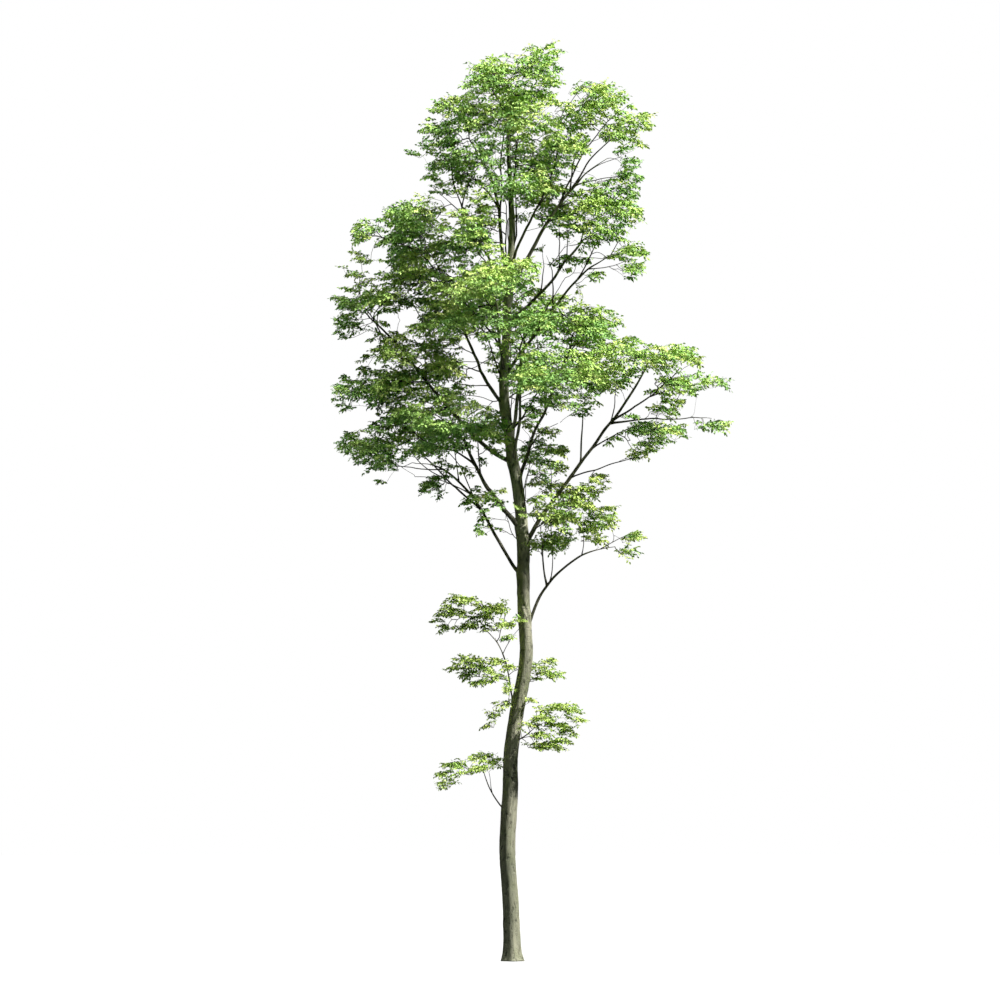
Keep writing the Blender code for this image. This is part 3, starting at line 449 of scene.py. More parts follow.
def bark_material(name, pale, dark, moss, scale, strength, aloft=0.0):
    """Smooth bark: clouded grey-green, fine upright streaks, short level lenticels and dark pits; when aloft is given,
    painted light makes it paler from 4.2 m up and painted shade darker again from 10 m up.
    """
    mat = principled(name, pale, 0.85, 0.25)
    nodes, links = mat.node_tree.nodes, mat.node_tree.links
    shader = nodes["Principled BSDF"]
    place = nodes.new("ShaderNodeTexCoord")

    def stretched(x, y, z):
        m = nodes.new("ShaderNodeMapping")
        m.inputs["Scale"].default_value = (x, y, z)
        links.new(place.outputs["Object"], m.inputs["Vector"])
        return m.outputs["Vector"]

    def clouds(vector, size, detail=4.0, rough=0.55):
        n = nodes.new("ShaderNodeTexNoise")
        n.inputs["Scale"].default_value = size
        n.inputs["Detail"].default_value = detail
        n.inputs["Roughness"].default_value = rough
        links.new(vector, n.inputs["Vector"])
        return n.outputs["Fac"]

    def ramp(fac, low, high):
        r = nodes.new("ShaderNodeMapRange")
        r.inputs["From Min"].default_value = low
        r.inputs["From Max"].default_value = high
        links.new(fac, r.inputs["Value"])
        return r.outputs["Result"]

    def mixed(fac, a, b):
        m = nodes.new("ShaderNodeMix")
        m.data_type = "RGBA"
        links.new(fac, m.inputs["Factor"])
        for socket, value in ((m.inputs["A"], a), (m.inputs["B"], b)):
            if isinstance(value, tuple):
                socket.default_value = (*value, 1.0)
            else:
                links.new(value, socket)
        return m.outputs["Result"]

    broad = clouds(stretched(1.0, 1.0, 0.35), 2.3 * scale, 5.0)
    streak = clouds(stretched(1.0, 1.0, 0.16), 22.0 * scale, 6.0, 0.65)
    level = clouds(stretched(0.5, 0.5, 3.0), 17.0 * scale, 3.0, 0.6)
    pits = clouds(stretched(1.0, 1.0, 0.55), 13.0 * scale, 3.0, 0.6)
    fine = clouds(stretched(1.0, 1.0, 0.8), 60.0 * scale, 4.0, 0.7)
    green = clouds(stretched(1.0, 1.0, 0.6), 4.1 * scale, 4.0)
    colour = mixed(ramp(broad, 0.33, 0.62), dark, pale)
    if aloft:
        parts = nodes.new("ShaderNodeSeparateXYZ")
        links.new(place.outputs["Object"], parts.inputs[0])
        # Painted light: from 4.2 m up the bark is paler, standing in for sun on the trunk under the crown.
        painted_light_aloft = ramp(parts.outputs["Z"], 4.2, 8.0)
        painted_light_aloft.node.inputs["To Max"].default_value = aloft
        colour = mixed(painted_light_aloft, colour, tuple(min(1.0, c * 1.35) for c in pale))
        # Painted shade: from 10 m to 12.5 m up the bark darkens, standing in for the crown's shadow on the stem.
        shaded = ramp(parts.outputs["Z"], 10.0, 12.5)
        shaded.node.inputs["To Max"].default_value = 0.62
        colour = mixed(shaded, colour, dark)
    colour = mixed(ramp(green, 0.50, 0.78), colour, moss)
    colour = mixed(ramp(pits, 0.56, 0.70), colour, tuple(c * 0.42 for c in dark))
    colour = mixed(ramp(streak, 0.56, 0.76), colour, tuple(c * 0.55 for c in dark))
    colour = mixed(ramp(level, 0.62, 0.76), colour, tuple(c * 0.5 for c in dark))
    links.new(colour, shader.inputs["Base Color"])
    links.new(ramp(fine, 0.1, 1.4), shader.inputs["Roughness"])

    def combined(operation, a, b):
        m = nodes.new("ShaderNodeMath")
        m.operation = operation
        links.new(a, m.inputs[0])
        links.new(b, m.inputs[1])
        return m.outputs[0]

    height_map = combined("ADD", streak, fine)
    height_map = combined("SUBTRACT", height_map, ramp(level, 0.58, 0.85))
    height_map = combined("SUBTRACT", height_map, ramp(pits, 0.50, 0.80))
    bump = nodes.new("ShaderNodeBump")
    bump.inputs["Strength"].default_value = strength
    bump.inputs["Distance"].default_value = 0.012
    links.new(height_map, bump.inputs["Height"])
    links.new(bump.outputs["Normal"], shader.inputs["Normal"])
    return mat


bark = bark_material("bark", (0.47, 0.46, 0.35), (0.235, 0.245, 0.18), (0.26, 0.29, 0.17), 1.0, 0.9, 0.9)
bough_bark = bark_material("bough_bark", (0.24, 0.23, 0.17), (0.085, 0.085, 0.062), (0.11, 0.12, 0.07), 1.6, 0.6)
branch_bark = bark_material("branch_bark", (0.070, 0.064, 0.046), (0.030, 0.027, 0.020), (0.045, 0.048, 0.026), 3.0, 0.4)
twig_bark = bark_material("twig_bark", (0.115, 0.110, 0.060), (0.060, 0.056, 0.034), (0.080, 0.090, 0.040), 6.0, 0.3)


def leaf_material(name, colour):
    """A leaf's plain colour, with the fine unevenness of its blade in sheen and relief."""
    mat = principled(name, colour, 0.46, 0.45)
    nodes, links = mat.node_tree.nodes, mat.node_tree.links
    shader = nodes["Principled BSDF"]
    place = nodes.new("ShaderNodeTexCoord")
    blade = nodes.new("ShaderNodeTexNoise")
    blade.inputs["Scale"].default_value = 55.0
    blade.inputs["Detail"].default_value = 3.0
    links.new(place.outputs["Object"], blade.inputs["Vector"])
    sheen = nodes.new("ShaderNodeMapRange")
    sheen.inputs["From Min"].default_value = 0.25
    sheen.inputs["From Max"].default_value = 0.75
    sheen.inputs["To Min"].default_value = 0.34
    sheen.inputs["To Max"].default_value = 0.60
    links.new(blade.outputs["Fac"], sheen.inputs["Value"])
    links.new(sheen.outputs["Result"], shader.inputs["Roughness"])
    relief = nodes.new("ShaderNodeBump")
    relief.inputs["Strength"].default_value = 0.35
    relief.inputs["Distance"].default_value = 0.004
    links.new(blade.outputs["Fac"], relief.inputs["Height"])
    links.new(relief.outputs["Normal"], shader.inputs["Normal"])
    return mat


# Leaf colours, dealt out by spray: from the palest sunlit green to the deepest, lit and shaded greens, so partly
# painted light and shade as well as the leaves' own spread of colour.
LEAF_COLOURS = [
    ("leaf_lime", (0.70, 0.83, 0.26)),
    ("leaf_fresh", (0.59, 0.77, 0.21)),
    ("leaf_green", (0.47, 0.67, 0.165)),
    ("leaf_mid", (0.37, 0.60, 0.14)),
    ("leaf_deep", (0.265, 0.49, 0.125)),
    ("leaf_olive", (0.60, 0.70, 0.21)),
]
leaf_mats = [leaf_material(n, c) for n, c in LEAF_COLOURS]

# ------------------------------------------------------------------ the skeleton
pos, parent, fixed, grown_list = [], [], [], []


def add_path(path, radii, start):
    """Adds a limb's nodes to the skeleton, on from the node it starts at."""
    first = len(pos)
    for i, (p, r) in enumerate(zip(path, radii, strict=True)):
        pos.append(np.asarray(p, float))
        parent.append(start if i == 0 else first + i - 1)
        fixed.append(r)
        grown_list.append(False)
    return range(first, first + len(path))


limbs = {}
stem_z = np.concatenate([np.arange(0, 16.25, 0.06), [16.25]])
stem = [station(z) for z in stem_z]
limbs["trunk"] = add_path([q[0] for q in stem], [q[1] for q in stem], -1)

limb_shapes = {}
for seed, (name, mother, start, b0, b1, pitches, length, d0, d1) in enumerate(BOUGHS + LIMBS, 1):
    if mother == "trunk":
        foot = station(start)[0]
    else:
        whole = limb_shapes[mother][0]
        foot = whole[round(start * (len(whole) - 1))]
    small = d0 < 0.06
    start_node = min(limbs[mother], key=lambda i: float(np.linalg.norm(pos[i] - foot)))
    path = limb_path(foot, (b0, b1), pitches, length, 48 if not small else max(6, round(length / 0.05)))
    path = wander(path, SWAY.get(name, 0.040 if name.startswith("limb") else 0.018 if small else 0.040), seed)
    share = np.linspace(0, 1, len(path)) ** 0.85
    radii = (d0 + (d1 - d0) * share) / 2
    limb_shapes[name] = (path, radii)
    limbs[name] = add_path(path[1:], radii[1:], start_node)

# ------------------------------------------------------------------ where the sprays go
clumps = np.array([c for part in CLUMPS.values() for c in part] + BODIES)
cx, cz = across(clumps[:, 0]), height(clumps[:, 1])
crx, crz, full = clumps[:, 2] * PART, clumps[:, 3] * PART, clumps[:, 4]
sky = np.array(SKY, float)


def fullness(p):
    """How likely a spray is at each point, by where foliage and sky show from the front. Clumps that meet run together."""
    x, z = p[:, 0], p[:, 2]
    rho2 = ((x[:, None] - cx) / crx) ** 2 + ((z[:, None] - cz) / crz) ** 2
    merged = np.clip(((full * np.exp(-rho2)).sum(1) - 0.55) / 0.30, 0, 1)
    alone = (full * np.clip((1.02 - np.sqrt(rho2)) / 0.22, 0, 1)).max(1)
    best = np.maximum(merged, alone)
    for sx, sy, rx_, ry_ in sky:
        hole = np.hypot((x - across(sx)) / (rx_ * PART), (z - height(sy)) / (ry_ * PART))
        best *= np.clip((hole - 0.90) / 0.40, 0.0, 1)
    return best


cad_low, cad_high = (np.array(c) for c in cad_box)
masses = sorted(n for n in cad if n.startswith("mass_"))
group_of = {m: next(g for g in GROUPS if m.split("_")[1] == g) for m in masses}
centres, halves_of = {}, {}
for m in masses:
    me = cad[m].data
    co = np.array([v.co for v in me.vertices])
    centres[m] = (co.min(0) + co.max(0)) / 2
    halves_of[m] = (co.max(0) - co.min(0)) / 2


def depth_at(x, z):
    """A depth inside one of the masses that stand at (x, z) in the front view, and that mass."""
    choices = []
    for m in masses:
        if group_of[m] == "low":
            continue
        half = halves_of[m]
        e = ((x - centres[m][0]) / (half[0] + 0.25)) ** 2 + ((z - centres[m][2]) / (half[2] + 0.25)) ** 2
        choices.append((e, half[1], m))
    near = [c for c in choices if c[0] < 1.1] or [min(choices)]
    weights = np.array([c[1] * (1.3 - min(c[0], 1.1)) for c in near])
    e, half_y, m = near[rng.choice(len(near), p=weights / weights.sum())]
    return centres[m][1] + half_y * math.sqrt(max(0.15, 1 - 0.8 * min(e, 1))) * rng.uniform(-1, 1), m


def clear_of(made, spots):
    """True if a pad (x, y, z, radius) keeps off those already made."""
    if not spots:
        return True
    s = np.array(spots)
    flat = np.hypot(s[:, 0] - made[0], s[:, 1] - made[1]) / (0.50 * (s[:, 3] + made[3]))
    return bool((flat**2 + ((s[:, 2] - made[2]) / 0.15) ** 2 > 1).all())


def pad_at(x, z, r, thick, spots):
    """A pad at (x, z) in the front view, at a depth inside a mass there: (x, y, z, radius, radius, thickness, rise, mass)."""
    y, m = depth_at(x, z)
    y = min(max(y, cad_low[1] + 0.12), cad_high[1] - 0.12)
    if not clear_of((x, y, z, r), spots):
        return None
    spots.append((x, y, z, r))
    high_up = min(max((z - 13.0) / 3.0, 0), 1)
    deep = min(r * rng.uniform(0.85, 1.2), max(0.12, min(y - cad_low[1], cad_high[1] - y)))
    return (x, y, z, r, deep, thick * (1 + 0.5 * high_up), rng.normal(-0.04, 0.20) + 0.40 * high_up, m)


def crown_pads():
    """Pads for each clump by its size, and then more wherever foliage shows, until the crown is full."""
    spots, made = [], []
    for part, rows in CLUMPS.items():
        if part == "low tufts":
            continue
        for px, py, rx, rz, f in rows:
            for _ in range(max(1, round(f * rx * rz / CLUMP_AREA))):
                swing, out = rng.uniform(0, 2 * math.pi), math.sqrt(rng.random())
                r = min(rng.uniform(*PAD_RADII), 0.80 * rx * PART)
                x = across(px) + math.cos(swing) * out * max(rx * PART - r, 0)
                z = height(py) + math.sin(swing) * out * rz * PART * 0.55
                pad = pad_at(x, z, r, min(rng.uniform(0.10, 0.18), 0.75 * rz * PART), spots)
                for _ in range(5):
                    pad = pad or pad_at(x, z, r, min(rng.uniform(0.10, 0.18), 0.75 * rz * PART), spots)
                if pad:
                    made.append(pad)
    left, right, low, high = across(325), across(740), height(575), height(38)
    for _ in range(60000):
        if len(made) >= PADS:
            break
        x, z = rng.uniform(left, right), rng.uniform(low, high)
        if rng.random() > fullness(np.array([(x, 0, z)]))[0]:
            continue
        r = rng.uniform(*PAD_RADII)
        for _ in range(5):
            ends = fullness(np.array([(x - 0.85 * r, 0, z), (x + 0.85 * r, 0, z)]))
            if ends.min() > 0.2:
                break
            r *= 0.84
        pad = pad_at(x, z, r, rng.uniform(0.10, 0.18), spots)
        if pad:
            made.append(pad)
    return made


def low_pads():
    """The separate tufts on the stem, each from its own clump."""
    made = []
    tufts = [m for m in masses if group_of[m] == "low"]
    for px, py, rx, rz, _ in CLUMPS["low tufts"]:
        x, z = across(px), height(py)
        m = min(tufts, key=lambda k: float(np.hypot(*((np.array((x, z)) - centres[k][[0, 2]]) / np.array((1.0, 0.6))))))
        half = halves_of[m]
        y = centres[m][1] + rng.uniform(-0.35, 0.35) * half[1]
        made.append((x, y, z, rx * PART * 0.85, min(max(rx * PART * 0.85, 0.14), 0.8 * half[1]), rz * PART * 0.62, rng.uniform(-0.2, 0.05), m))
    return made


pads = crown_pads() + low_pads()
low_pad = np.array([group_of[p[7]] == "low" for p in pads])
pad_centre = np.array([p[:3] for p in pads])
pad_radius = np.array([max(p[3], p[4]) for p in pads])
# Each pad faces away from the stem, give or take, and its branch comes in at the side towards the stem.
pad_out = unit((pad_centre - np.array([station(z)[0] for z in pad_centre[:, 2]])) * (1, 1, 0) + rng.normal(0, 0.12, (len(pads), 3)) * (1, 1, 0))
pad_foot = pad_centre - pad_out * (0.80 * pad_radius)[:, None] - np.array((0, 0, 0.07))


# ------------------------------------------------------------------ growth: limbs fork until each pad has its branch
def grow_to(node, way, goal, crook=0.05):
    """A branch from a node that sets out along way and ends at the goal. Returns its last node and its last direction."""
    base = pos[node]
    gap = goal - base
    far = float(np.linalg.norm(gap))
    n = max(2, round(far / STEP))
    leave = unit(way) * far * 0.75
    arrive = unit(unit(gap) + 0.25 * unit(way) + rng.normal(0, 0.10, 3)) * far * 0.75
    t = (np.arange(1, n + 1) / n)[:, None]
    course = (2 * t**3 - 3 * t**2 + 1) * base + (t**3 - 2 * t**2 + t) * leave + (-2 * t**3 + 3 * t**2) * goal + (t**3 - t**2) * arrive
    sway = rng.normal(0, min(crook * far, 0.035), (2, 3))
    course = course + np.sin(math.pi * t) * sway[0] + np.sin(2 * math.pi * t) * sway[1] * 0.6
    course[:-1] += rng.normal(0, 0.007, (n - 1, 3))
    for q in course:
        pos.append(q)
        parent.append(node)
        fixed.append(0.0)
        grown_list.append(True)
        node = len(pos) - 1
    return node, unit(arrive)


def halves(points):
    """The points in two groups, about the two that are furthest apart."""
    a = points[np.argmax(np.linalg.norm(points - points.mean(0), axis=1))]
    b = points[np.argmax(np.linalg.norm(points - a, axis=1))]
    for _ in range(3):
        first = np.linalg.norm(points - a, axis=1) < np.linalg.norm(points - b, axis=1)
        if first.all() or not first.any():
            first = np.arange(len(points)) % 2 == 0
        a, b = points[first].mean(0), points[~first].mean(0)
    return first


def fork(node, way, group, ends):
    """Branches from a node to the feet of a group of pads: part of the way together, then in two, again and again."""
    if len(group) == 1:
        ends[group[0]] = grow_to(node, way, pad_foot[group[0]])
        return
    feet = pad_foot[group]
    gap = feet.mean(0) - pos[node]
    near = float(np.linalg.norm(feet - pos[node], axis=1).min())
    share = min(rng.uniform(0.35, 0.62), 0.9 * near / max(float(np.linalg.norm(gap)), 0.01))
    if share * float(np.linalg.norm(gap)) > 0.5 * STEP:
        node, way = grow_to(node, way, pos[node] + gap * share + np.array((0, 0, 0.06 * float(np.linalg.norm(gap)))))
    first = halves(feet)
    for part in (first, ~first):
        fork(node, way, group[part], ends)


def is_low(name):
    return name.split("_", 1)[-1].startswith(("low_left", "low_right", "tuft")) and name != "bough_left_low"


# The buds: places along the limbs' outer parts that branches may leave from.
bud_node, bud_way, bud_low = [], [], []
for name, ids in limbs.items():
    nodes = list(ids)
    if name == "trunk":
        nodes = [i for i in nodes if pos[i][2] > 9.6]
        apart, begin = 0.50, 0
    else:
        apart, begin = (0.32, round(0.45 * len(nodes))) if name.startswith("bough") and fixed[nodes[0]] > 0.03 else (0.20, round(0.30 * len(nodes)))
    since = 9.0
    for i in range(begin, len(nodes)):
        since += float(np.linalg.norm(pos[nodes[i]] - pos[parent[nodes[i]]]))
        if since > apart or i == len(nodes) - 1:
            since = 0.0
            bud_node.append(nodes[i])
            bud_way.append(unit(pos[nodes[i]] - pos[parent[nodes[i]]]))
            bud_low.append(is_low(name))
bud_node, bud_way, bud_low = np.array(bud_node), np.array(bud_way), np.array(bud_low)
bud_at = np.array([pos[i] for i in bud_node])
gap = pad_foot[:, None] - bud_at[None]
far = np.linalg.norm(gap, axis=2)
lean = (gap * bud_way[None]).sum(2) / np.maximum(far, 1e-6)
cost = far * (1.45 - 0.45 * lean) + 0.5 * far**2 + 0.8 * np.maximum(0, -gap[..., 2]) + 0.15 * (bud_node < len(stem_z))[None] + 50.0 * (low_pad[:, None] != bud_low[None])
chosen = cost.argmin(1)
ends = {}
for b in np.unique(chosen):
    group = np.nonzero(chosen == b)[0]
    outward = unit(pad_foot[group].mean(0) - bud_at[b])
    fork(int(bud_node[b]), unit(0.6 * bud_way[b] + 0.7 * outward + np.array((0, 0, 0.15))), group, ends)

# Each pad: a fan of twigs from its foot, with sprays to both sides of them.
targets, owner, host, heading, lifts, room_for = [], [], [], [], [], []
for k, (x, y, z, rx, ry, thick, rise, m) in enumerate(pads):
    c, out = pad_centre[k], pad_out[k]
    node, way = ends[k]
    side = np.cross(out, (0.0, 0.0, 1.0))
    n = max(5, round(SPRAYS_BY_AREA * rx * ry * (3.4 if low_pad[k] else 1.0)))
    i = np.arange(n)
    rho = np.sqrt((i + 0.5) / n) * 0.95
    turn = i * 2.39996 + rng.random() * 6.28
    p = c + np.column_stack([rx * rho * np.cos(turn), ry * rho * np.sin(turn), np.zeros(n)])
    p[:, :2] += rng.normal(0, 0.035, (n, 2))
    along = (p - c) @ out
    p[:, 2] += thick * (0.5 - 1.2 * rho**2) + rise * along + rng.normal(0, 0.5 * thick, n)
    # A spray needs room for its tip too.
    both = np.minimum(fullness(p), fullness(p + 0.36 * SPRAY_LENGTH * out) * 1.5)
    keep = rng.random(n) < (1.0 if low_pad[k] else np.clip(both * 2.0, 0.02, 1))
    p = p[keep]
    if not len(p):
        continue
    own = [node]
    for turn in (0.0,) if pad_radius[k] < 0.26 else (-0.75, 0.0, 0.75):
        reach = pad_radius[k] * (1.35 if turn == 0 else 1.0)
        goal = pad_foot[k] + (math.cos(turn) * out + math.sin(turn) * side) * reach
        goal = goal + np.array((0, 0, 0.07 + rise * reach * 0.6 + 0.2 * thick))
        first = len(pos)
        grow_to(node, unit(way + 0.5 * unit(goal - pos[node])), goal, 0.04)
        own += range(first, len(pos))
    at = np.array([pos[i] for i in own])
    # A spray leaves its twig a little nearer the pad's foot than where it ends.
    back = p - 0.09 * out - np.array((0, 0, 0.02))
    nearest = np.linalg.norm(back[:, None] - at[None], axis=2).argmin(1)
    for q, j in zip(p, nearest, strict=True):
        targets.append(q)
        host.append(own[j])
        owner.append(masses.index(m))
        lifts.append(rise)
        room_for.append(pad_radius[k])
        gap = (q - at[j]) * (1, 1, 0.3)
        heading.append(unit(0.9 * out + 0.9 * unit(gap) + rng.normal(0, 0.28, 3) * (1, 1, 0)))
targets, owner, host, lifts, heading, room_for = (np.array(v) for v in (targets, owner, host, lifts, heading, room_for))

count = len(pos)
P = np.array(pos)
grown = np.array(grown_list)
children = [[] for _ in range(count)]
for i, p in enumerate(parent):
    if p >= 0:
        children[p].append(i)
# Each branch is as thick as what it carries needs: the squares of the radii add up.
carried = np.zeros(count)
np.add.at(carried, host, TIP**2)
for i in range(count - 1, -1, -1):
    if parent[i] >= 0:
        carried[parent[i]] += carried[i] * 1.012
useful = grown & (carried > 0)
radius = np.where(grown, np.maximum(np.sqrt(carried), TIP), np.array(fixed))
for i in np.nonzero(useful)[0]:
    radius[i] = min(radius[i], 0.80 * radius[parent[i]] if not grown[parent[i]] else radius[parent[i]])

# ------------------------------------------------------------------ bark: the trunk and the boughs
KNOTS = [  # height, bearing, how far it reaches, depth (negative stands out): old branch scars and wounds
    (3.42, -95, 0.070, 0.010),
    (6.83, -130, 0.060, -0.010),
    (6.70, -60, 0.045, 0.006),
    (0.95, -115, 0.035, 0.007),
    (1.95, -60, 0.040, -0.006),
    (5.20, 60, 0.060, -0.009),
    (2.60, 140, 0.055, 0.008),
    (7.45, 20, 0.050, -0.008),
    (8.30, -100, 0.045, 0.006),
    (4.30, -140, 0.040, -0.007),
]


# The stem's section is a rounded square: how far its sides are in from the corners, and where its front corner is, by height.
SECTION = 0.045
TURNS = np.array([(0.0, -4), (2.4, 0), (3.2, 8), (3.75, 24), (4.3, 6), (5.0, -6), (5.8, -8), (6.4, 12), (7.2, 4), (9.0, 0), (16.3, 0)])
CREASES = [  # from height and bearing, to height and bearing, half width, depth
    (3.46, -118, 3.33, -56, 0.030, 0.034),
    (3.36, -60, 3.95, -58, 0.016, 0.018),
    (6.58, -84, 6.20, -22, 0.034, 0.024),
    (6.78, -92, 6.92, -44, 0.014, 0.012),
    (4.72, -112, 5.30, -128, 0.018, 0.012),
]


def crease_at(z, a, r):
    """How deep the creases are at a height and bearing on the stem."""
    total = 0.0
    for z0, b0, z1, b1, wide, depth in CREASES:
        if min(z0, z1) - 0.15 < z < max(z0, z1) + 0.15:
            start = np.array((z0, math.radians(b0) * r))
            run = np.array((z1, math.radians(b1) * r)) - start
            here = np.array((z, ((a + math.pi) % (2 * math.pi) - math.pi) * r)) - start
            t = min(max(float(here @ run) / float(run @ run), 0.0), 1.0)
            d = float(np.linalg.norm(here - run * t)) / (wide * (1.1 - 0.5 * t))
            total += depth * math.exp(-(d**2)) * (1 - 0.35 * t)
    return total


def stem_surface():
    sides = 72
    heights = np.concatenate([np.arange(0, 1.2, 0.022), np.arange(1.2, 8.4, 0.034), np.arange(8.4, 16.2, 0.055), [16.25]])
    rings = np.empty((len(heights), sides, 3))
    collars = []
    for name, mother, start, b0, _, pitches, _, d0, _ in BOUGHS:
        if mother == "trunk":
            c, r = station(start)
            rise = r / max(math.tan(math.radians(90 - pitches[0])), 0.2)
            collars.append((start + rise * 0.8, math.radians(b0), d0))
    for i, z in enumerate(heights):
        centre, r = station(z)
        fade = min(1.0, r / 0.05)
        corner = math.radians(-90 + float(np.interp(z, TURNS[:, 0], TURNS[:, 1])))
        for k in range(sides):
            a = 2 * math.pi * k / sides
            wide = r * (1 + FLARE_GROWTH * math.exp(-z / FLARE_HEIGHT) + RIDGE_DEPTH * math.cos(FLARE_ROOTS * a + 0.7) * math.exp(-z / 0.35))
            ca, sa = math.cos(a), math.sin(a)
            wide *= 1 - SECTION * (1 - math.cos(4 * (a - corner)))
            wide -= crease_at(z, a, r) * fade
            # Broad flutes that wind up the stem, soft swellings, and the bark's fine relief.
            wide += r * 0.045 * noise.noise((ca * 1.1, sa * 1.1, z * 0.45)) * fade
            wide += r * 0.028 * noise.noise((ca * 2.6 + 4, sa * 2.6, z * 1.3))
            wide += 0.0050 * fade * noise.noise((ca * 3.4, sa * 3.4, z * 4.0))
            wide += 0.0035 * fade * noise.noise((ca * 6.5, sa * 6.5, z * 13.0))
            wide -= 0.0050 * fade * max(0.0, noise.noise((ca * 3.0 + 7, sa * 3.0, z * 17.0)) - 0.22)
            for cz_, bearing, d0 in collars:
                dz = z - cz_
                if -0.45 < dz < 0.30:
                    da = (a - bearing + math.pi) % (2 * math.pi) - math.pi
                    up = math.exp(-((dz / 0.10) ** 2)) if dz > 0 else math.exp(-((dz / 0.19) ** 2))
                    wide += 0.34 * d0 * up * math.exp(-((da * r / (0.75 * d0)) ** 2))
            for kz, bearing, reach, depth in KNOTS:
                dz = z - kz
                if abs(dz) < 0.25:
                    da = ((a - math.radians(bearing) + math.pi) % (2 * math.pi) - math.pi) * r
                    d = math.hypot(dz * 0.8, da) / reach
                    wide -= depth * math.exp(-(d**2)) - 0.45 * abs(depth) * math.exp(-((d - 1.35) ** 2) * 5)
            rings[i, k] = centre + np.array((ca, sa, 0)) * wide
    return rings


bark_shape = Shape()
bark_shape.tube(None, None, 72, rings=stem_surface())
bough_shape, branch_shape = Shape(), Shape()
for name, (path, radii) in limb_shapes.items():
    bough = name.startswith("bough")
    ids = np.array([limbs[name][0], *limbs[name]])
    needed = np.clip(np.sqrt(carried[ids]), 0.30 * radii, radii)
    ease = np.clip((np.linspace(0, 1, len(ids)) - (0.45 if bough else 0.1)) / (0.55 if bough else 0.9), 0, 1) ** 1.3
    radii = radii * (1 - ease) + needed * ease
    spaced = curve_through(np.column_stack([path, radii])[:: 4 if bough else 2], 0.045 if bough else 0.07)
    line, wide = spaced[:, :3], np.maximum(spaced[:, 3], 0.004)
    run = np.concatenate([[0], np.cumsum(np.linalg.norm(np.diff(line, axis=0), axis=1))])
    # The collar: a limb widens into the one that carries it.
    wide = wide * (0.94 + 0.50 * np.exp(-run / (2.2 * radii[0])))
    sides = 16 if radii[0] > 0.03 else 10 if bough else 8
    rings = tube_rings(line, wide, sides)
    for i in range(len(line)):
        for k in range(sides):
            q = rings[i, k]
            n = 0.10 * noise.noise(tuple(q * 6.0)) + 0.06 * noise.noise(tuple(q * np.array((34.0, 34.0, 16.0))))
            rings[i, k] = line[i] + (q - line[i]) * (1 + n)
    (bough_shape if bough else branch_shape).tube(None, None, sides, rings=rings)

# ------------------------------------------------------------------ everything grown

def chain_from(i):
    chain = [i]
    while True:
        kids = [c for c in children[chain[-1]] if useful[c]]
        if not kids:
            return chain
        chain.append(max(kids, key=lambda c: carried[c]))


starts = [i for i in np.nonzero(useful)[0] if not grown[parent[i]] or max((c for c in children[parent[i]] if useful[c]), key=lambda c: carried[c]) != i]
for s in starts:
    chain = chain_from(s)
    line = np.vstack([P[parent[s]][None], P[chain]])
    r = radius[chain]
    wide = np.concatenate([[min(r[0] * 1.25, radius[parent[s]])], r])
    if len(line) >= 3 and wide[0] > 0.008:
        smooth = curve_through(np.column_stack([line, wide]), 0.08)
        line, wide = smooth[:, :3], np.maximum(smooth[:, 3], TIP * 0.8)
    sides = 6 if wide[0] > 0.014 else 5 if wide[0] > 0.008 else 4 if wide[0] > 0.005 else 3
    branch_shape.tube(line, wide, sides)

# ------------------------------------------------------------------ sprays: twigs and leaves
n = len(targets)
centre = np.array([centres[masses[o]] for o in owner])
heading[:, 2] = 0
heading = unit(heading)
length = SPRAY_LENGTH * rng.uniform(0.72, 1.18, n)
low_tufts = np.array([group_of[masses[o]] == "low" for o in owner])
length = np.where(low_tufts, length * 0.66, length * np.clip(0.55 + 1.3 * room_for, 0.7, 1.0))
rise = rng.normal(0.06, 0.30, n) + 0.9 * lifts
b0 = P[host]
b1 = targets - heading * (length * 0.10)[:, None] + np.column_stack([np.zeros((n, 2)), (0.06 - 0.05 * rise) * length])
b2 = targets + heading * (length * 0.48)[:, None] + np.column_stack([np.zeros((n, 2)), (rise * 0.6 - rng.uniform(0.04, 0.28, n)) * length])
# Sprays that would pass the crown's bounds stop short of them.
room = 0.03 * (cad_high - cad_low) - 0.085
low_room, high_room = cad_low - room, cad_high + room
low_room[2] = 0.3
b1, b2 = np.clip(b1, low_room, high_room), np.clip(b2, low_room, high_room)


def bend(s):
    s = np.asarray(s)[None, :, None]
    return (1 - s) ** 2 * b0[:, None] + 2 * s * (1 - s) * b1[:, None] + s**2 * b2[:, None]


def slope(s):
    s = np.asarray(s)[None, :, None]
    return unit(2 * (1 - s) * (b1 - b0)[:, None] + 2 * s * (b2 - b1)[:, None])


UP = np.array((0.0, 0.0, 1.0))
twig_shapes = {"front": Shape(), "back": Shape()}
behind = targets[:, 1] > 0.0


def prisms(points, wide):
    """Three-sided twigs along points (n, rings, 3), with radii (rings)."""
    for shape, mine in zip(twig_shapes.values(), (~behind, behind), strict=True):
        n, m = points[mine].shape[:2]
        tangent = unit(np.gradient(points[mine], axis=1))
        u = unit(np.cross(tangent, UP + 0.01))
        v = np.cross(tangent, u)
        angles = 2 * math.pi * np.arange(3) / 3
        ring = points[mine][:, :, None] + np.asarray(wide)[None, :, None, None] * (
            np.cos(angles)[None, None, :, None] * u[:, :, None] + np.sin(angles)[None, None, :, None] * v[:, :, None]
        )
        base = np.arange(n)[:, None, None] * (m * 3) + np.arange(m - 1)[None, :, None] * 3
        k = np.arange(3)[None, None, :]
        nxt = (k + 1) % 3
        quads = np.stack(np.broadcast_arrays(base + k, base + nxt, base + 3 + nxt, base + 3 + k), -1).reshape(-1, 4)
        shape.add(ring.reshape(-1, 3), quads)


prisms(bend([0.0, 0.5, 1.0]), [0.0023, 0.0016, 0.0007])

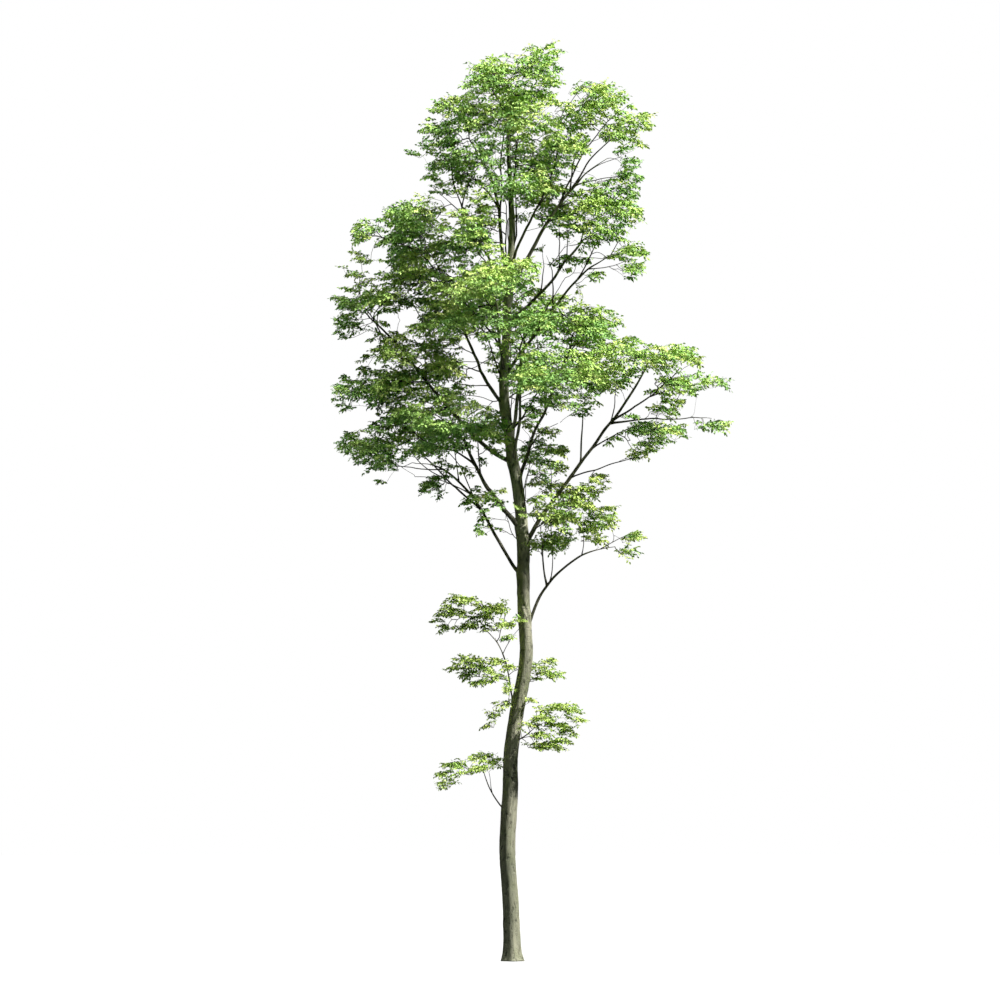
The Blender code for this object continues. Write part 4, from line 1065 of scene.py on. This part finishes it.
# The side twiglets.
twiglets = []
for s, sign in ((0.38, 1.0), (0.62, -1.0)):
    foot = bend([s])[:, 0]
    along = slope([s])[:, 0]
    side = unit(np.cross(along, UP)) * sign
    way = unit(0.62 * along + 0.72 * side + rng.normal(0, 0.10, (n, 3)) + (0, 0, -0.05))
    size = length * rng.uniform(0.36, 0.52, n)
    tip = foot + way * size[:, None] - UP * (size * 0.10)[:, None]
    prisms(np.stack([foot, tip], 1), [0.0012, 0.0006])
    twiglets.append((foot, tip))

# A leaf: foot, widest part, shoulders and tip, folded along its middle and hanging at its tip.
LEAF = np.array([(0, 0, 0), (0.36, 0.5, 0.12), (0.36, -0.5, 0.12), (0.72, 0.36, 0.0), (0.72, -0.36, 0.0), (1.0, 0, -0.32)])
LEAF_FACES = np.array([(0, 2, 4), (0, 4, 5), (0, 5, 3), (0, 3, 1)])
leaf_at, leaf_way, leaf_size, leaf_spray = [], [], [], []


def leaves(at, along, sign, terminal, size):
    """One leaf for each spray at the points, two-ranked: level, to the side and a little down."""
    n = len(at)
    side = unit(np.cross(along, UP)) * sign
    turn = math.radians(8 if terminal else 54)
    way = math.cos(turn) * along + math.sin(turn) * side
    way = way + rng.normal(0, 0.28, (n, 3)) - UP * rng.uniform(-0.20, 0.70, n)[:, None]
    leaf_at.append(at)
    leaf_way.append(unit(way))
    leaf_size.append(size * rng.uniform(0.78, 1.14, n) * np.where(low_tufts, 0.84, 1.0))
    leaf_spray.append(np.arange(n))


steps = np.array([0.22, 0.33, 0.44, 0.54, 0.64, 0.74, 0.83, 0.92, 1.0])
points, ways = bend(steps), slope(steps)
for k, s in enumerate(steps):
    last = k == len(steps) - 1
    leaves(points[:, k], ways[:, k], 1.0 if k % 2 else -1.0, last, LEAF_LENGTH * (0.92 if s < 0.3 else 1.0 if s < 0.9 else 0.86))
for foot, tip in twiglets:
    along = unit(tip - foot)
    for share, sign, last in ((0.34, 1.0, False), (0.58, -1.0, False), (0.80, 1.0, False), (1.0, -1.0, True)):
        leaves(foot + (tip - foot) * share, along, sign, last, LEAF_LENGTH * 0.9)

at = np.vstack(leaf_at)
way = np.vstack(leaf_way)
size = np.concatenate(leaf_size)
spray = np.concatenate(leaf_spray)
keep = rng.random(len(at)) > 0.06
at, way, size, spray = at[keep], way[keep], size[keep], spray[keep]
normal = UP + rng.normal(0, 0.62, (len(at), 3))
normal = unit(normal - way * np.sum(normal * way, 1, keepdims=True))
side = np.cross(normal, way)
ratio = LEAF_WIDTH / LEAF_LENGTH
local = LEAF[None] * np.array((1.0, ratio, 0.5))
verts = (
    at[:, None]
    + way[:, None] * (local[..., 0:1] * size[:, None, None] + 0.006)
    + side[:, None] * (local[..., 1:2] * size[:, None, None])
    + normal[:, None] * (local[..., 2:3] * size[:, None, None])
)

# Colours by spray: patches of like sprays, with painted light and shade: paler on top and outside, yellower to the
# right where the sun comes from, deeper inside and left.
patch = np.array([noise.noise(tuple(p * 1.25)) for p in targets])
small = np.array([noise.noise(tuple(p * 4.0 + 9.0)) for p in targets])
rel = (targets - centre) / np.array([halves_of[masses[o]] for o in owner])
# The foliage that hangs under the crown on the left is in its shade.
shaded = (targets[:, 0] < -0.2) * np.clip((9.4 - targets[:, 2]) / 0.8, 0, 1) * ~low_tufts
# Two bands in the middle of the crown: a little paler on the left, painted light where the crown shades it from the
# sun, and a little deeper just right of the trunk.
inner_left = (targets[:, 0] < -0.7) * np.clip((targets[:, 2] - 10.2) / 0.8, 0, 1) * np.clip((14.2 - targets[:, 2]) / 0.6, 0, 1) * ~low_tufts
inner_right = (np.abs(targets[:, 0] - 0.45) < 0.5) * np.clip((targets[:, 2] - 10.2) / 0.4, 0, 1) * np.clip((12.2 - targets[:, 2]) / 0.5, 0, 1)
# The sprays under the crown on the right are dealt paler colours: painted light, where the crown above shades them.
under = (targets[:, 0] >= -0.2) * np.clip((9.6 - targets[:, 2]) / 0.8, 0, 1) * ~low_tufts
# Painted light: the low tufts are dealt paler colours than their dense, self-shaded sprays would show.
score = 0.55 * patch + 0.35 * small + 0.22 * rel[:, 2] + 0.16 * (np.linalg.norm(rel, axis=1) - 0.7) + 0.025 * targets[:, 0] + 0.68 * low_tufts + 0.34 * under + 0.20 * inner_left - 0.18 * inner_right - 0.04 * shaded + rng.normal(0, 0.18, n)
rank = np.argsort(np.argsort(-score)) / n
cuts = np.array([0.10, 0.30, 0.56, 0.82])
colour = np.searchsorted(cuts, rank)
# The low tufts are fresh green, without the palest leaves of the sunlit crown.
colour[low_tufts & (colour == 0) & (rng.random(n) < 0.75)] = 1
olive = (rng.random(n) < 0.10) & (colour < 3) & ~low_tufts
colour[olive] = 5

pieces = []
low_corner, high_corner = (np.array(c) for c in cad_box)
sizes = high_corner - low_corner
room_low, room_high = low_corner - 0.03 * sizes, high_corner + 0.03 * sizes
room_low[2] = 0.0
fits = ((verts >= room_low) & (verts <= room_high)).all((1, 2))
group_index = np.array([GROUPS.index(group_of[masses[o]]) for o in owner])
most = 190000 // len(LEAF_FACES)
for g, group in enumerate(GROUPS):
    mine = np.nonzero(fits & (group_index[spray] == g))[0]
    if not len(mine):
        continue
    # A large group goes into several pieces, from front to back.
    mine = mine[np.argsort(targets[spray[mine], 1], kind="stable")]
    parts = np.array_split(mine, math.ceil(len(mine) / most))
    for k, part in enumerate(parts, 1):
        v = verts[part]
        shape = Shape()
        faces = (LEAF_FACES[None] + np.arange(len(v))[:, None, None] * len(LEAF)).reshape(-1, 3)
        shape.add(v.reshape(-1, 3), faces, np.repeat(colour[spray[part]], len(LEAF_FACES)))
        obj = shape.mesh(f"leaves_{group}" if len(parts) == 1 else f"leaves_{group}_{k}", leaf_mats)
        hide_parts(*[m for m in masses if group_of[m] == group])
        pieces.append((obj, shape.triangles()))

trunk_obj = bark_shape.mesh("bark_trunk", [bark])
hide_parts("trunk")
bough_obj = bough_shape.mesh("bark_boughs", [bough_bark])
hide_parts(*[b[0] for b in BOUGHS])
branch_obj = branch_shape.mesh("branches", [branch_bark])
for name, shape in twig_shapes.items():
    twig_obj = shape.mesh(f"twigs_{name}", [twig_bark])
    pieces.append((twig_obj, shape.triangles()))
pieces += [(trunk_obj, bark_shape.triangles()), (bough_obj, bough_shape.triangles()), (branch_obj, branch_shape.triangles())]
for obj, _ in pieces:
    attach(obj, "root")

# ------------------------------------------------------------------ floor, light and camera
floor_mesh = bpy.data.meshes.new("floor")
turns = [2 * math.pi * k / 96 for k in range(96)]
floor_mesh.from_pydata([(60 * math.cos(a), 60 * math.sin(a), -0.001) for a in turns], [], [tuple(range(96))])
floor = bpy.data.objects.new("floor", floor_mesh)
bpy.context.scene.collection.objects.link(floor)
pale = principled("pale_floor", (0.12, 0.12, 0.12), 0.95, 0.0)
ground = pale.node_tree.nodes["Principled BSDF"]
ground.inputs["Emission Color"].default_value = (1, 1, 1, 1)
ground.inputs["Emission Strength"].default_value = 0.92
floor.visible_diffuse = False
floor.visible_glossy = False
floor_mesh.materials.append(pale)

world = bpy.data.worlds.new("studio")
bpy.context.scene.world = world
world.use_nodes = True
wn, wl = world.node_tree.nodes, world.node_tree.links
back = wn["Background"]
tex = wn.new("ShaderNodeTexCoord")
split = wn.new("ShaderNodeSeparateXYZ")
wl.new(tex.outputs["Generated"], split.inputs[0])


def towards(sign, strength, added):
    """The dome's light from overhead (sign 1) or from below (sign -1), strongest straight up or down."""
    turned = wn.new("ShaderNodeMath")
    turned.operation = "MULTIPLY"
    wl.new(split.outputs["Z"], turned.inputs[0])
    turned.inputs[1].default_value = sign
    above = wn.new("ShaderNodeMath")
    above.operation = "MAXIMUM"
    wl.new(turned.outputs[0], above.inputs[0])
    above.inputs[1].default_value = 0.0
    curve = wn.new("ShaderNodeMath")
    curve.operation = "POWER"
    wl.new(above.outputs[0], curve.inputs[0])
    curve.inputs[1].default_value = 14.0
    lift = wn.new("ShaderNodeMath")
    lift.operation = "MULTIPLY_ADD"
    wl.new(curve.outputs[0], lift.inputs[0])
    lift.inputs[1].default_value = strength
    if added is None:
        lift.inputs[2].default_value = 0.010
    else:
        wl.new(added, lift.inputs[2])
    return lift.outputs[0]


dome = towards(-1.0, 5.0, towards(1.0, 8.6, None))
rays = wn.new("ShaderNodeLightPath")
pick = wn.new("ShaderNodeMix")
pick.data_type = "FLOAT"
wl.new(rays.outputs["Is Camera Ray"], pick.inputs["Factor"])
wl.new(dome, pick.inputs["A"])
pick.inputs["B"].default_value = 1.0
# The dome's light is a little green, as light is under leaves, and the backdrop stays white.
tint = wn.new("ShaderNodeMix")
tint.data_type = "RGBA"
wl.new(rays.outputs["Is Camera Ray"], tint.inputs["Factor"])
tint.inputs["A"].default_value = (0.90, 1.0, 0.86, 1.0)
tint.inputs["B"].default_value = (1.0, 1.0, 1.0, 1.0)
wl.new(tint.outputs["Result"], back.inputs["Color"])
wl.new(pick.outputs["Result"], back.inputs["Strength"])

sun_data = bpy.data.lights.new("key", "SUN")
sun_data.energy = 5.8
sun_data.angle = math.radians(3.0)
sun_data.color = (1.0, 0.985, 0.92)
sun = bpy.data.objects.new("key", sun_data)
bpy.context.scene.collection.objects.link(sun)
towards_sun = Vector((0.70, -0.24, 0.80)).normalized()
sun.rotation_euler = towards_sun.to_track_quat("Z", "Y").to_euler()

bpy.context.scene.view_settings.view_transform = "Standard"

FAR = 200.0
cam_data = bpy.data.cameras.new("camera")
cam_data.sensor_width = 36.0
cam_data.lens = 36.0 * FAR / (1000 * PART)
cam_data.clip_start, cam_data.clip_end = 1.0, 2000.0
camera = bpy.data.objects.new("camera", cam_data)
bpy.context.scene.collection.objects.link(camera)
camera.location = (across(500), -FAR, height(500))
camera.rotation_euler = (math.radians(90), 0, 0)
bpy.context.scene.camera = camera
